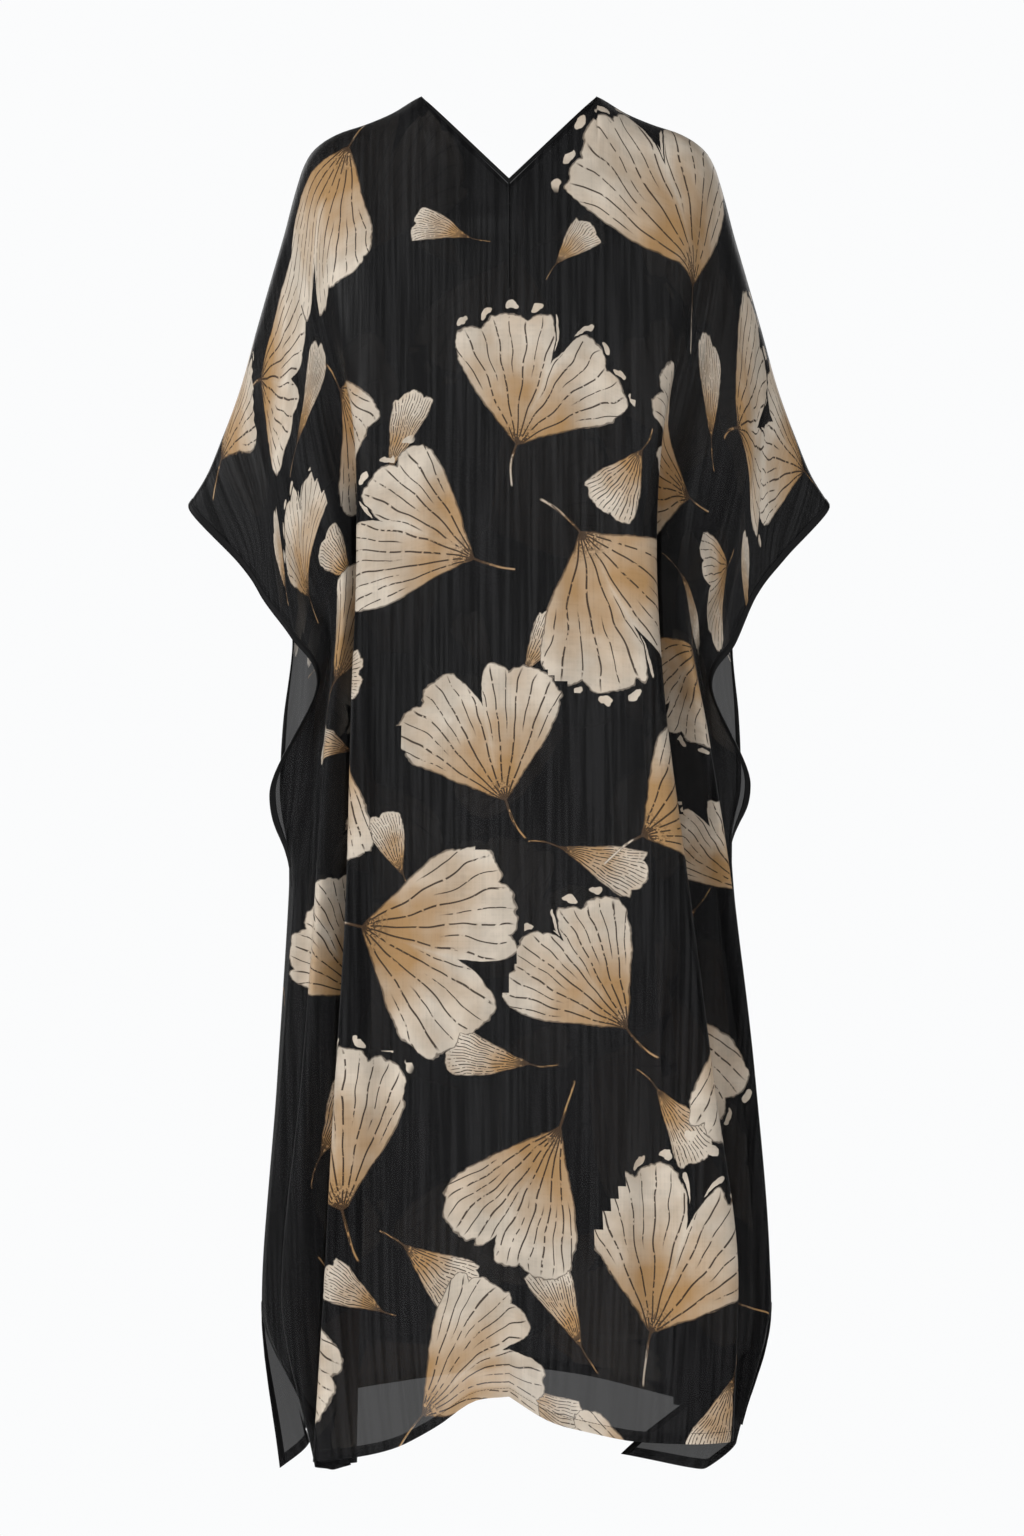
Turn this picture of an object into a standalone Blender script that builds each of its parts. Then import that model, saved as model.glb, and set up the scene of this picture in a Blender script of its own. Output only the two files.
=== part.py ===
"""A worn, hollow kaftan with batwing sleeves, a double V neck, bound openings and a turned-up hem.

X runs across the garment, Y from its front to its back and Z up. The origin is midway between the two neck
points, where the wearer's shoulders hold the cloth. Each panel is a cloth wall lofted through eleven cross
sections, from the shoulder line down to the hem. The tables give each section's fold lines in millimetres.
"""

from collections import namedtuple

import bpy
import numpy as np

MM = 0.001

# Driving dimensions, in metres
WALL = 1.2 * MM            # cloth wall
SEAM_GAP = 0.3 * MM        # between pieces at a seam
BAND_WALL = 1.0 * MM       # turned-up hem and bias binding
BAND_LIFT = 0.4 * MM       # between a band and the cloth that it lies on
HEM_DEPTH = 11.0 * MM
BINDING_WIDTH = 7.0 * MM
NECK_BINDING_WIDTH = 6.0 * MM
NECK_HALF = 88.0 * MM      # centre line to neck point
V_DEPTH = 85.0 * MM        # neck points down to the bottom of the V
ROLL_AT_NECK = 30.0 * MM   # how far the cloth rounds forward over the shoulder
ROLL_AT_CUFF = 8.0 * MM    # and over the tip of the sleeve
ROLL_DROP = 0.32           # share of the roll that the first section drops
MOST_OF_A_STEP = 0.7       # a band's inner line stays this near to its edge, as a share of a step
SHARPEST_MITRE = 0.45      # thickness at a fold grows to at most 1 over this
SHARP_ANGLE = np.radians(50)

# Fold lines of a half panel, as shares of its width from the centre line to its side edge, and the number
# of steps that the wall takes from each to the next
FOLD_SHARES = (0.0, 0.15, 0.33, 0.45, 0.58, 0.70, 0.91, 1.0)
FOLD_STEPS = (3, 4, 4, 4, 3, 2, 1)
NECK_SHARE = FOLD_SHARES[1]
NECK_TO_RIDGE = 0.53       # the neck line's place between the centre and the front ridge, below the bust
NECK_TURN = 0.22           # how much of the ridge's turn backwards it shares there
EDGE_TURN = 0.5            # the flank line's place between the inner fold and the side edge
BELLY_DEPTH = 0.35         # how far a belly stands forward, as a share of how far it stands out

# Shoulder and overarm line: share of the half width, distance out, height
ArmPoint = namedtuple("ArmPoint", "share out height")
ARM_LINE = [ArmPoint(*row) for row in (
    (0.000, 0, 6), (0.150, 88, 0), (0.207, 117, -17), (0.255, 143, -28), (0.307, 172, -38),
    (0.335, 186, -46), (0.360, 197, -56), (0.387, 205, -70), (0.419, 211, -88), (0.512, 225, -140),
    (0.585, 237, -181), (0.684, 253, -237), (0.778, 268, -291), (0.875, 287, -343), (0.945, 303, -381),
    (1.000, 320, -408),
)]

# Cross sections from the shoulder down: cloth length from the shoulder, steps of the wall to the next one,
# how far its slope follows the hem's instead of the shoulder's, and each panel's centre line. Depths are
# measured from the side seams, forwards on a front panel and backwards on a back panel.
Section = namedtuple(
    "Section", "name drop steps hem_share front_depth front_height back_depth back_height"
)
SECTIONS = [Section(*row) for row in (
    ("shoulder", 0, 2, 0.0, 0, 6, 0, 6),
    ("roll", 40, 3, 0.0, 34, -10, 31, -9),
    ("yoke", 110, 3, 0.0, 66, -78, 60, -76),
    ("chest", 220, 3, 0.0, 96, -185, 88, -182),
    ("bust", 340, 3, 0.0, 110, -305, 98, -303),
    ("elbow", 470, 4, 0.0, 113, -435, 97, -433),
    ("cuff", 620, 3, 0.0, 115, -585, 98, -583),
    ("underarm", 820, 3, 0.0, 118, -780, 102, -778),
    ("thigh", 1020, 3, 0.2, 121, -980, 106, -978),
    ("slit", 1200, 3, 0.5, 124, -1165, 110, -1158),
    ("hem", 1340, 0, 1.0, 127, -1293, 113, -1275),
)]
SECTION_NAMES = [section.name for section in SECTIONS]
FULL_DROP = SECTIONS[-1].drop
FIRST_FOLDED = SECTION_NAMES.index("yoke")

# The fold lines of each section below the roll: the outer ridge, the valley behind it, the second ridge and
# the inner fold, each with its distance out and its depth
Folds = namedtuple(
    "Folds",
    "section ridge_out ridge_depth valley_out valley_depth "
    "second_out second_depth inner_out inner_depth",
)
FRONT_LEFT_FOLDS = [Folds(*row) for row in (
    ("yoke", 182, 58, 204, 46, 226, 42, 245, 34),
    ("chest", 168, 82, 176, 54, 204, 58, 226, 42),
    ("bust", 153, 97, 144, 44, 180, 64, 202, 42),
    ("elbow", 151, 102, 133, 34, 164, 68, 176, 40),
    ("cuff", 156, 105, 133, 34, 178, 70, 186, 34),
    ("underarm", 161, 108, 136, 38, 188, 68, 192, 30),
    ("thigh", 170, 112, 140, 44, 202, 66, 206, 30),
    ("slit", 183, 116, 148, 50, 220, 66, 226, 30),
    ("hem", 194, 118, 152, 58, 192, 62, 182, 44),
)]
FRONT_RIGHT_FOLDS = [Folds(*row) for row in (
    ("yoke", 181, 58, 204, 46, 226, 44, 245, 34),
    ("chest", 168, 82, 176, 54, 203, 60, 228, 42),
    ("bust", 152, 97, 144, 46, 179, 68, 204, 42),
    ("elbow", 146, 102, 132, 38, 170, 74, 184, 42),
    ("cuff", 154, 105, 134, 36, 193, 74, 198, 36),
    ("underarm", 177, 108, 148, 40, 218, 62, 206, 28),
    ("thigh", 203, 112, 170, 44, 243, 56, 232, 26),
    ("slit", 227, 114, 190, 48, 258, 54, 246, 26),
    ("hem", 222, 112, 176, 56, 226, 50, 205, 30),
)]
BACK_LEFT_FOLDS = [Folds(*row) for row in (
    ("yoke", 180, 54, 203, 44, 226, 40, 245, 32),
    ("chest", 170, 76, 180, 50, 206, 54, 228, 38),
    ("bust", 160, 88, 152, 42, 186, 60, 206, 38),
    ("elbow", 158, 90, 142, 32, 180, 62, 196, 34),
    ("cuff", 162, 92, 142, 32, 186, 62, 196, 30),
    ("underarm", 168, 96, 146, 36, 194, 58, 202, 26),
    ("thigh", 176, 100, 152, 40, 206, 56, 214, 26),
    ("slit", 188, 104, 160, 44, 218, 54, 230, 26),
    ("hem", 196, 106, 166, 48, 202, 56, 204, 32),
)]
BACK_RIGHT_FOLDS = [Folds(*row) for row in (
    ("yoke", 178, 54, 202, 44, 226, 40, 245, 32),
    ("chest", 166, 77, 178, 48, 205, 55, 228, 38),
    ("bust", 155, 90, 148, 40, 184, 62, 207, 38),
    ("elbow", 153, 92, 138, 30, 182, 64, 198, 34),
    ("cuff", 158, 94, 138, 30, 188, 64, 198, 30),
    ("underarm", 166, 98, 144, 34, 200, 60, 208, 26),
    ("thigh", 178, 102, 154, 38, 218, 58, 226, 26),
    ("slit", 194, 106, 164, 44, 236, 56, 244, 26),
    ("hem", 198, 107, 166, 50, 220, 56, 222, 30),
)]

# The side edge of a half panel below the roll: bound sleeve opening, then side seam, then bound slit. The
# belly is how far the flank line stands out beyond the straight line from the inner fold to the edge.
Edge = namedtuple("Edge", "section out depth height belly")
FRONT_LEFT_EDGE = [Edge(*row) for row in (
    ("yoke", 270, 22, -466, 0),
    ("chest", 243, 34, -506, 0),
    ("bust", 217, 46, -541, 0),
    ("elbow", 191, 52, -586, 0),
    ("cuff", 239, 12, -698, 2),
    ("underarm", 218, 0, -790, 10),
    ("thigh", 230, 0, -985, 10),
    ("slit", 247, 0, -1206, 7),
    ("hem", 158, 30, -1366, 0),
)]
FRONT_RIGHT_EDGE = [Edge(*row) for row in (
    ("yoke", 277, 22, -460, 0),
    ("chest", 248, 34, -497, 0),
    ("bust", 226, 46, -546, 0),
    ("elbow", 202, 52, -589, 0),
    ("cuff", 241, 12, -688, 2),
    ("underarm", 219, 0, -773, 10),
    ("thigh", 239, 0, -985, 10),
    ("slit", 262, 0, -1206, 7),
    ("hem", 112, 32, -1355, 6),
)]
BACK_LEFT_EDGE = [Edge(*row) for row in (
    ("yoke", 270, 18, -462, 0),
    ("chest", 241, 26, -504, 0),
    ("bust", 217, 34, -545, 0),
    ("elbow", 226, 32, -622, 2),
    ("cuff", 229, 14, -692, 6),
    ("underarm", 218, 0, -790, 10),
    ("thigh", 230, 0, -985, 10),
    ("slit", 247, 0, -1206, 7),
    ("hem", 229, 7, -1371, -10),
)]
BACK_RIGHT_EDGE = [Edge(*row) for row in (
    ("yoke", 275, 18, -460, 0),
    ("chest", 248, 26, -498, 0),
    ("bust", 224, 34, -548, 0),
    ("elbow", 230, 32, -616, 2),
    ("cuff", 232, 14, -680, 6),
    ("underarm", 219, 0, -773, 10),
    ("thigh", 239, 0, -985, 10),
    ("slit", 262, 0, -1206, 7),
    ("hem", 233, 7, -1328, 2),
)]

# The hem's height at shares of the half width, on each half panel
HemPoint = namedtuple("HemPoint", "share front_left front_right back_left back_right")
HEM_LINE = [HemPoint(*row) for row in (
    (0.00, -1293, -1293, -1275, -1275),
    (0.05, -1298, -1318, -1279, -1278),
    (0.10, -1322, -1329, -1284, -1283),
    (0.15, -1340, -1337, -1289, -1290),
    (0.33, -1358, -1338, -1307, -1316),
    (0.45, -1362, -1336, -1318, -1310),
    (0.58, -1366, -1340, -1331, -1318),
    (0.70, -1369, -1364, -1342, -1320),
    (0.88, -1370, -1368, -1350, -1324),
    (1.00, -1366, -1355, -1371, -1328),
)]

# Long troughs in the faces of the panels, each deepening over a length of cloth
Trough = namedtuple("Trough", "front side share reach depth top full")
TROUGHS = [Trough(*row) for row in (
    (True, 1, 0.195, 0.055, 15, 860, 1120),
    (True, -1, 0.195, 0.060, 7, 560, 1000),
    (True, 1, 0.050, 0.060, 5, 700, 1150),
    (False, 1, 0.195, 0.055, 9, 420, 900),
    (False, -1, 0.240, 0.055, 10, 620, 1100),
    (False, -1, 0.100, 0.055, 6, 500, 900),
)]

Half = namedtuple("Half", "folds edge hem")
Panel = namedtuple("Panel", "name front centre halves")
FRONT = Panel("front_panel", True, [(s.front_depth, s.front_height) for s in SECTIONS], {
    -1: Half(FRONT_LEFT_FOLDS, FRONT_LEFT_EDGE, [p.front_left for p in HEM_LINE]),
    1: Half(FRONT_RIGHT_FOLDS, FRONT_RIGHT_EDGE, [p.front_right for p in HEM_LINE]),
})
BACK = Panel("back_panel", False, [(s.back_depth, s.back_height) for s in SECTIONS], {
    -1: Half(BACK_LEFT_FOLDS, BACK_LEFT_EDGE, [p.back_left for p in HEM_LINE]),
    1: Half(BACK_RIGHT_FOLDS, BACK_RIGHT_EDGE, [p.back_right for p in HEM_LINE]),
})

# Colours of the plain solids: the cloth, and the black binding
CLOTH_COLOUR = (0.020, 0.020, 0.022, 1.0)
BINDING_COLOUR = (0.006, 0.006, 0.007, 1.0)
CLOTH_ROUGHNESS = 0.62
BINDING_ROUGHNESS = 0.55


def smooth_line(knots, values, at, level_turns=False):
    """A smooth curve through the values at the knots, read at one place: a cubic with Catmull-Rom slopes.

    With level turns it never runs past a value at which it turns back.
    """
    values = [np.asarray(v, float) for v in values]
    last = len(knots) - 1

    def slope(i):
        if i == 0:
            return (values[1] - values[0]) / (knots[1] - knots[0])
        if i == last:
            return (values[last] - values[last - 1]) / (knots[last] - knots[last - 1])
        before, after = knots[i] - knots[i - 1], knots[i + 1] - knots[i]
        rise_before = (values[i] - values[i - 1]) / before
        rise_after = (values[i + 1] - values[i]) / after
        mean = (rise_before * after + rise_after * before) / (before + after)
        return np.where(level_turns & (rise_before * rise_after <= 0), 0.0, mean)

    i = int(np.clip(np.searchsorted(knots, at, side="right") - 1, 0, last - 1))
    span = knots[i + 1] - knots[i]
    t = (at - knots[i]) / span
    start, end = slope(i) * span, slope(i + 1) * span
    return (
        (2 * t**3 - 3 * t**2 + 1) * values[i]
        + (t**3 - 2 * t**2 + t) * start
        + (3 * t**2 - 2 * t**3) * values[i + 1]
        + (t**3 - t**2) * end
    )


def arm_line(share):
    """Distance out and height of the shoulder and overarm line, in millimetres."""
    return smooth_line([p.share for p in ARM_LINE], [(p.out, p.height) for p in ARM_LINE], share)


def roll_radius(share):
    """How far the cloth rounds over the shoulder or arm, in millimetres."""
    return (ROLL_AT_NECK + (ROLL_AT_CUFF - ROLL_AT_NECK) * share) / MM


def fall(half, section, share):
    """Share of a section's drop, from its centre line to its side edge, that is reached at this share."""
    along_arm = (arm_line(share)[1] - ARM_LINE[0].height) / (ARM_LINE[-1].height - ARM_LINE[0].height)
    hem = smooth_line([p.share for p in HEM_LINE], half.hem, share)
    along_hem = (hem - half.hem[0]) / (half.hem[-1] - half.hem[0])
    return along_arm + (along_hem - along_arm) * SECTIONS[section].hem_share


def section_point(panel, side, section, share):
    """Distance out, depth and height of one section at a share of the half width, in millimetres."""
    if section < FIRST_FOLDED:
        out, height = arm_line(share)
        roll = roll_radius(share) * section
        return np.array((out, roll, height - roll * ROLL_DROP))
    half = panel.halves[side]
    edge, folds = half.edge[section - FIRST_FOLDED], half.folds[section - FIRST_FOLDED]
    centre_depth, centre_height = panel.centre[section]
    neck_out = folds.ridge_out * NECK_TO_RIDGE
    neck_depth = centre_depth + (folds.ridge_depth - centre_depth) * NECK_TURN
    flank_out = folds.inner_out + (edge.out - folds.inner_out) * EDGE_TURN + edge.belly
    flank_depth = folds.inner_depth + (edge.depth - folds.inner_depth) * EDGE_TURN + edge.belly * BELLY_DEPTH
    lines = (
        (-neck_out, neck_depth),
        (0, centre_depth),
        (neck_out, neck_depth),
        (folds.ridge_out, folds.ridge_depth),
        (folds.valley_out, folds.valley_depth),
        (folds.second_out, folds.second_depth),
        (folds.inner_out, folds.inner_depth),
        (flank_out, flank_depth),
        (edge.out, edge.depth),
    )
    out, depth = smooth_line((-NECK_SHARE,) + FOLD_SHARES, lines, share)
    height = centre_height + (edge.height - centre_height) * fall(half, section, share)
    return np.array((out, depth, height))


def trough_depth(panel, side, share, drop):
    """How far the long troughs sink this place of the cloth, in millimetres."""
    total = 0.0
    for trough in TROUGHS:
        if trough.front == panel.front:
            off = (side * share - trough.side * trough.share) / trough.reach
            along = np.clip((drop * FULL_DROP - trough.top) / (trough.full - trough.top), 0, 1)
            total += trough.depth * max(1 - off * off, 0) ** 2 * along * along * (3 - 2 * along)
    return total


def cloth_point(panel, side, share, drop):
    """A point of the cloth in metres, at a share of the half width and of the drop from the shoulder line."""
    knots = [section.drop / FULL_DROP for section in SECTIONS]
    points = [section_point(panel, side, i, share) for i in range(len(knots))]
    mirrored = points[1] * (1, -1, 1)
    out, depth, height = smooth_line([-knots[1]] + knots, [mirrored] + points, drop, level_turns=True) * MM
    depth = max(depth - trough_depth(panel, side, share, drop) * MM, SEAM_GAP / 2)
    return np.array((side * out, -depth if panel.front else depth, height))


def neck_start(panel, side, share):
    """The drop at which a column starts: 0 on the shoulder, and on the V line between the neck points."""
    if share >= NECK_SHARE:
        return 0.0
    low, high = 0.0, SECTIONS[SECTION_NAMES.index("chest")].drop / FULL_DROP
    for _ in range(24):
        middle = (low + high) / 2
        x, _, z = cloth_point(panel, side, share, middle)
        if z > -V_DEPTH * (1 - abs(x) / NECK_HALF):
            low = middle
        else:
            high = middle
    return high


def spread(knots, steps):
    """The knots with evenly spaced values between them."""
    values = [
        a + (b - a) * k / count for a, b, count in zip(knots, knots[1:], steps) for k in range(count)
    ]
    return values + [knots[-1]]


def panel_grid(panel):
    """The panel's middle surface: rows from the neck and shoulders down, columns from left to right."""
    shares = spread(FOLD_SHARES, FOLD_STEPS)
    columns = [(-1, s) for s in reversed(shares[1:])] + [(1, s) for s in shares]
    drops = spread([s.drop / FULL_DROP for s in SECTIONS], [s.steps for s in SECTIONS])
    blended = SECTIONS[SECTION_NAMES.index("elbow")].drop / FULL_DROP
    grid = np.zeros((len(drops), len(columns), 3))
    for i, (side, share) in enumerate(columns):
        start = neck_start(panel, side, share)
        for j, drop in enumerate(drops):
            if drop < blended:
                drop = start + drop * (1 - start / blended)
            grid[j, i] = cloth_point(panel, side, share, drop)
    return close_seams(with_band_lines(grid), panel.front)


def line_inside(edge, neighbour, width):
    """A line one band's width from an edge, on the way to the next line of points."""
    spacing = np.linalg.norm(neighbour - edge, axis=-1, keepdims=True)
    return edge + (neighbour - edge) * np.minimum(width / spacing, MOST_OF_A_STEP)


def with_band_lines(grid):
    """The grid with a further row or column of points along the inside of each band."""
    top = line_inside(grid[0], grid[1], NECK_BINDING_WIDTH)
    bottom = line_inside(grid[-1], grid[-2], HEM_DEPTH)
    grid = np.concatenate((grid[:1], [top], grid[1:-1], [bottom], grid[-1:]), axis=0)
    left = line_inside(grid[:, 0], grid[:, 1], BINDING_WIDTH)[:, None]
    right = line_inside(grid[:, -1], grid[:, -2], BINDING_WIDTH)[:, None]
    return np.concatenate((grid[:, :1], left, grid[:, 1:-1], right, grid[:, -1:]), axis=1)


def section_row(name):
    """The grid row of a folded section, below the row along the neck binding."""
    return sum(section.steps for section in SECTIONS[: SECTION_NAMES.index(name)]) + 1


def shoulder_columns(grid):
    """Which columns start on the shoulder and overarm seams, neck points included."""
    middle = grid.shape[1] // 2
    return np.abs(np.arange(grid.shape[1]) - middle) >= FOLD_STEPS[0]


def side_seam_rows():
    """The rows that the side seams join, from the underarm down to the slit."""
    return slice(section_row("underarm"), section_row("slit") + 1)


def close_seams(grid, front):
    """Sets the seam points half a seam gap from the garment's middle plane."""
    grid = grid.copy()
    depth = (-0.5 if front else 0.5) * SEAM_GAP
    grid[0, shoulder_columns(grid), 1] = depth
    for column in (0, -1):
        grid[side_seam_rows(), column, 1] = depth
    return grid


def unit(vectors):
    """The vectors at length 1."""
    return vectors / np.linalg.norm(vectors, axis=-1, keepdims=True)


def turning(grid, axis):
    """Mean direction of the cloth's two steps at each point along one axis: short where the cloth turns."""
    steps = unit(np.diff(grid, axis=axis))
    first, last = np.take(steps, [0], axis), np.take(steps, [-1], axis)
    return (np.concatenate((first, steps), axis) + np.concatenate((steps, last), axis)) / 2


def offsets(grid, front):
    """Outward steps of a middle surface that keep a wall's thickness through its folds.

    At a seam the cloth runs straight from front to back.
    """
    across, down = turning(grid, 1), turning(grid, 0)
    outward = -1 if front else 1
    down[0, shoulder_columns(grid)] = (0, outward, 0)
    across[side_seam_rows(), 0] = (0, outward, 0)
    across[side_seam_rows(), -1] = (0, -outward, 0)
    fold = np.linalg.norm(across, axis=2) * np.linalg.norm(down, axis=2)
    return unit(np.cross(across, down)) * outward / np.maximum(fold, SHARPEST_MITRE)[..., None]


def cloth_material(name, colour, roughness):
    """A plain woven finish in one colour."""
    material = bpy.data.materials.new(name)
    material.use_nodes = True
    shader = material.node_tree.nodes["Principled BSDF"]
    shader.inputs["Base Color"].default_value = colour
    shader.inputs["Roughness"].default_value = roughness
    shader.inputs["Metallic"].default_value = 0.0
    material.diffuse_color = colour
    return material


def wall(name, outer, inner, front, material, collection):
    """A closed cloth wall between two surfaces that are lofted through the same rows and columns."""
    rows, columns = outer.shape[:2]
    count = rows * columns
    vertices = np.concatenate((outer.reshape(-1, 3), inner.reshape(-1, 3)))
    faces = []
    for j in range(rows - 1):
        for i in range(columns - 1):
            a = j * columns + i
            b, c, d = a + columns, a + columns + 1, a + 1
            faces += [(a, b, d), (d, b, c)]
            faces += [(count + d, count + b, count + a), (count + c, count + b, count + d)]
    rim = list(range(columns))
    rim += [j * columns + columns - 1 for j in range(1, rows)]
    rim += [(rows - 1) * columns + i for i in range(columns - 2, -1, -1)]
    rim += [j * columns for j in range(rows - 2, 0, -1)]
    for a, b in zip(rim, rim[1:] + rim[:1]):
        faces += [(a, b, count + a), (count + a, b, count + b)]
    if not front:
        faces = [face[::-1] for face in faces]
    mesh = bpy.data.meshes.new(name)
    mesh.from_pydata([tuple(v) for v in vertices], [], faces)
    mesh.materials.append(material)
    mesh.shade_smooth()
    mesh.set_sharp_from_angle(angle=SHARP_ANGLE)
    collection.objects.link(bpy.data.objects.new(name, mesh))


def add_layer(name, grid, step, near, far, front, material, collection):
    """A piece that follows the panel's points, between two distances from its middle surface."""
    outer = grid + step * max(near, far)
    inner = grid + step * min(near, far)
    wall(name, outer, inner, front, material, collection)


def add_panel(panel, cloth, binding, collection):
    """One panel with its neck, sleeve and slit bindings outside, and its turned-up hem inside."""
    grid = panel_grid(panel)
    step = offsets(grid, panel.front)
    word = "front" if panel.front else "back"
    add_layer(panel.name, grid, step, -WALL / 2, WALL / 2, panel.front, cloth, collection)
    near = WALL / 2 + BAND_LIFT
    far = near + BAND_WALL
    middle = grid.shape[1] // 2
    neck = slice(middle - FOLD_STEPS[0], middle + FOLD_STEPS[0] + 1)
    sleeve = slice(0, side_seam_rows().start + 1)
    slit = slice(side_seam_rows().stop - 1, None)
    left, right = slice(0, 2), slice(-2, None)
    bindings = (
        (f"neck_binding_{word}", slice(0, 2), neck),
        (f"sleeve_binding_{word}_left", sleeve, left),
        (f"sleeve_binding_{word}_right", sleeve, right),
        (f"slit_binding_{word}_left", slit, left),
        (f"slit_binding_{word}_right", slit, right),
    )
    for name, rows, columns in bindings:
        part = (rows, columns)
        add_layer(name, grid[part], step[part], near, far, panel.front, binding, collection)
    add_layer(f"hem_{word}", grid[-2:], step[-2:], -near, -far, panel.front, cloth, collection)


def main():
    for item in list(bpy.data.objects):
        bpy.data.objects.remove(item)
    collection = bpy.data.collections.new("kaftan")
    bpy.context.scene.collection.children.link(collection)
    cloth = cloth_material("printed_voile", CLOTH_COLOUR, CLOTH_ROUGHNESS)
    binding = cloth_material("black_binding", BINDING_COLOUR, BINDING_ROUGHNESS)
    for panel in (FRONT, BACK):
        add_panel(panel, cloth, binding, collection)


main()
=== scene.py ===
"""A worn kaftan in sheer black voile with a print of large fan leaves, dressed over its CAD frame.

X runs across the garment, Y from its front to its back and Z up. Each panel is one sheet of cloth, swept
through the same eleven cross sections as its solid. Tables give fold lines and creases in millimetres.
"""

from collections import namedtuple
from functools import lru_cache

import bmesh
import bpy
import numpy as np
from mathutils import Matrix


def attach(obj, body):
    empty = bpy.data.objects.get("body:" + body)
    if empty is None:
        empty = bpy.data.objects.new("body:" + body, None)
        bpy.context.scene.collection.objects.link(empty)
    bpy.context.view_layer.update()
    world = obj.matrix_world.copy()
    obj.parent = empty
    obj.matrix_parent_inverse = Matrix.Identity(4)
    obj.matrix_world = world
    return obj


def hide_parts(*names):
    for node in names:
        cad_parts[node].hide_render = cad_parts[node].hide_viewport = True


bl_info = {
    "name": "Printed kaftan",
    "version": (1, 0, 0),
    "blender": (4, 5, 0),
    "location": "View3D > Sidebar > Kaftan",
    "description": "Builds a sheer printed kaftan with its bindings, hems and print",
    "category": "Object",
}

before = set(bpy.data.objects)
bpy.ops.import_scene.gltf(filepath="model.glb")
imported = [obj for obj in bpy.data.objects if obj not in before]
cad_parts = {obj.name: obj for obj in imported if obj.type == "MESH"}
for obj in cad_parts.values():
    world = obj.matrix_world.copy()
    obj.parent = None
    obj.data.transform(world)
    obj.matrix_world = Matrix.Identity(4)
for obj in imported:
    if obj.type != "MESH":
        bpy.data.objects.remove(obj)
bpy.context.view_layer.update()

MM = 0.001

# Shape of the neck, the seams and the roll of the cloth over shoulders and arms, in metres
SEAM_GAP = 0.4 * MM        # between the middles of the two sheets at a seam
NECK_HALF = 88.0 * MM      # centre line to neck point
V_DEPTH = 85.0 * MM        # neck points down to the bottom of the V
ROLL_AT_NECK = 30.0 * MM
ROLL_AT_CUFF = 8.0 * MM
ROLL_DROP = 0.32           # share of the roll that the first section drops

# Fold lines of a half panel, as shares of its width from the centre line to its side edge
FOLD_SHARES = (0.0, 0.15, 0.33, 0.45, 0.58, 0.70, 0.91, 1.0)
NECK_SHARE = FOLD_SHARES[1]
COLUMN_STEPS = (13, 16, 11, 12, 11, 18, 8)
ROW_PITCH = 5.7            # millimetres of drop between rows
NECK_TO_RIDGE = 0.53       # the neck line's place between the centre and the front ridge, below the bust
NECK_TURN = 0.22           # how much of the ridge's turn backwards it shares there
EDGE_TURN = 0.5            # the flank line's place between the inner fold and the side edge
BELLY_DEPTH = 0.35         # how far a belly stands forward, as a share of how far it stands out

# Shoulder and overarm line: share of the half width, distance out, height
ARM_LINE = np.array((
    (0.000, 0, 6), (0.150, 88, 0), (0.207, 117, -17), (0.255, 143, -28), (0.307, 172, -38),
    (0.335, 186, -46), (0.360, 197, -56), (0.387, 205, -70), (0.419, 211, -88), (0.512, 225, -140),
    (0.585, 237, -181), (0.684, 253, -237), (0.778, 268, -291), (0.875, 287, -343), (0.945, 303, -381),
    (1.000, 320, -408),
))

# Cross sections from the shoulder down: cloth length from the shoulder, how far its slope follows the hem's
# instead of the shoulder's, and each panel's centre line
Section = namedtuple("Section", "name drop hem_share front_depth front_height back_depth back_height")
SECTIONS = [Section(*row) for row in (
    ("shoulder", 0, 0.0, 0, 6, 0, 6),
    ("roll", 40, 0.0, 34, -10, 31, -9),
    ("yoke", 110, 0.0, 66, -78, 60, -76),
    ("chest", 220, 0.0, 96, -185, 88, -182),
    ("bust", 340, 0.0, 110, -305, 98, -303),
    ("elbow", 470, 0.0, 113, -435, 97, -433),
    ("cuff", 620, 0.0, 115, -585, 98, -583),
    ("underarm", 820, 0.0, 118, -780, 102, -778),
    ("thigh", 1020, 0.2, 121, -980, 106, -978),
    ("slit", 1200, 0.5, 124, -1165, 110, -1158),
    ("hem", 1340, 1.0, 127, -1293, 113, -1275),
)]
SECTION_NAMES = [section.name for section in SECTIONS]
FULL_DROP = SECTIONS[-1].drop
DROPS = [section.drop / FULL_DROP for section in SECTIONS]
FIRST_FOLDED = SECTION_NAMES.index("yoke")

# The fold lines of each section below the roll: the outer ridge, the valley behind it, the second ridge and
# the inner fold, each with its distance out and its depth
Folds = namedtuple(
    "Folds",
    "section ridge_out ridge_depth valley_out valley_depth "
    "second_out second_depth inner_out inner_depth",
)
FRONT_LEFT_FOLDS = [Folds(*row) for row in (
    ("yoke", 182, 58, 204, 46, 226, 42, 245, 34),
    ("chest", 168, 82, 176, 54, 204, 58, 226, 42),
    ("bust", 153, 97, 144, 44, 180, 64, 202, 42),
    ("elbow", 151, 102, 133, 34, 164, 68, 176, 40),
    ("cuff", 156, 105, 133, 34, 178, 70, 186, 34),
    ("underarm", 161, 108, 136, 38, 188, 68, 192, 30),
    ("thigh", 170, 112, 140, 44, 202, 66, 206, 30),
    ("slit", 183, 116, 148, 50, 220, 66, 226, 30),
    ("hem", 194, 118, 152, 58, 192, 62, 182, 44),
)]
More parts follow.
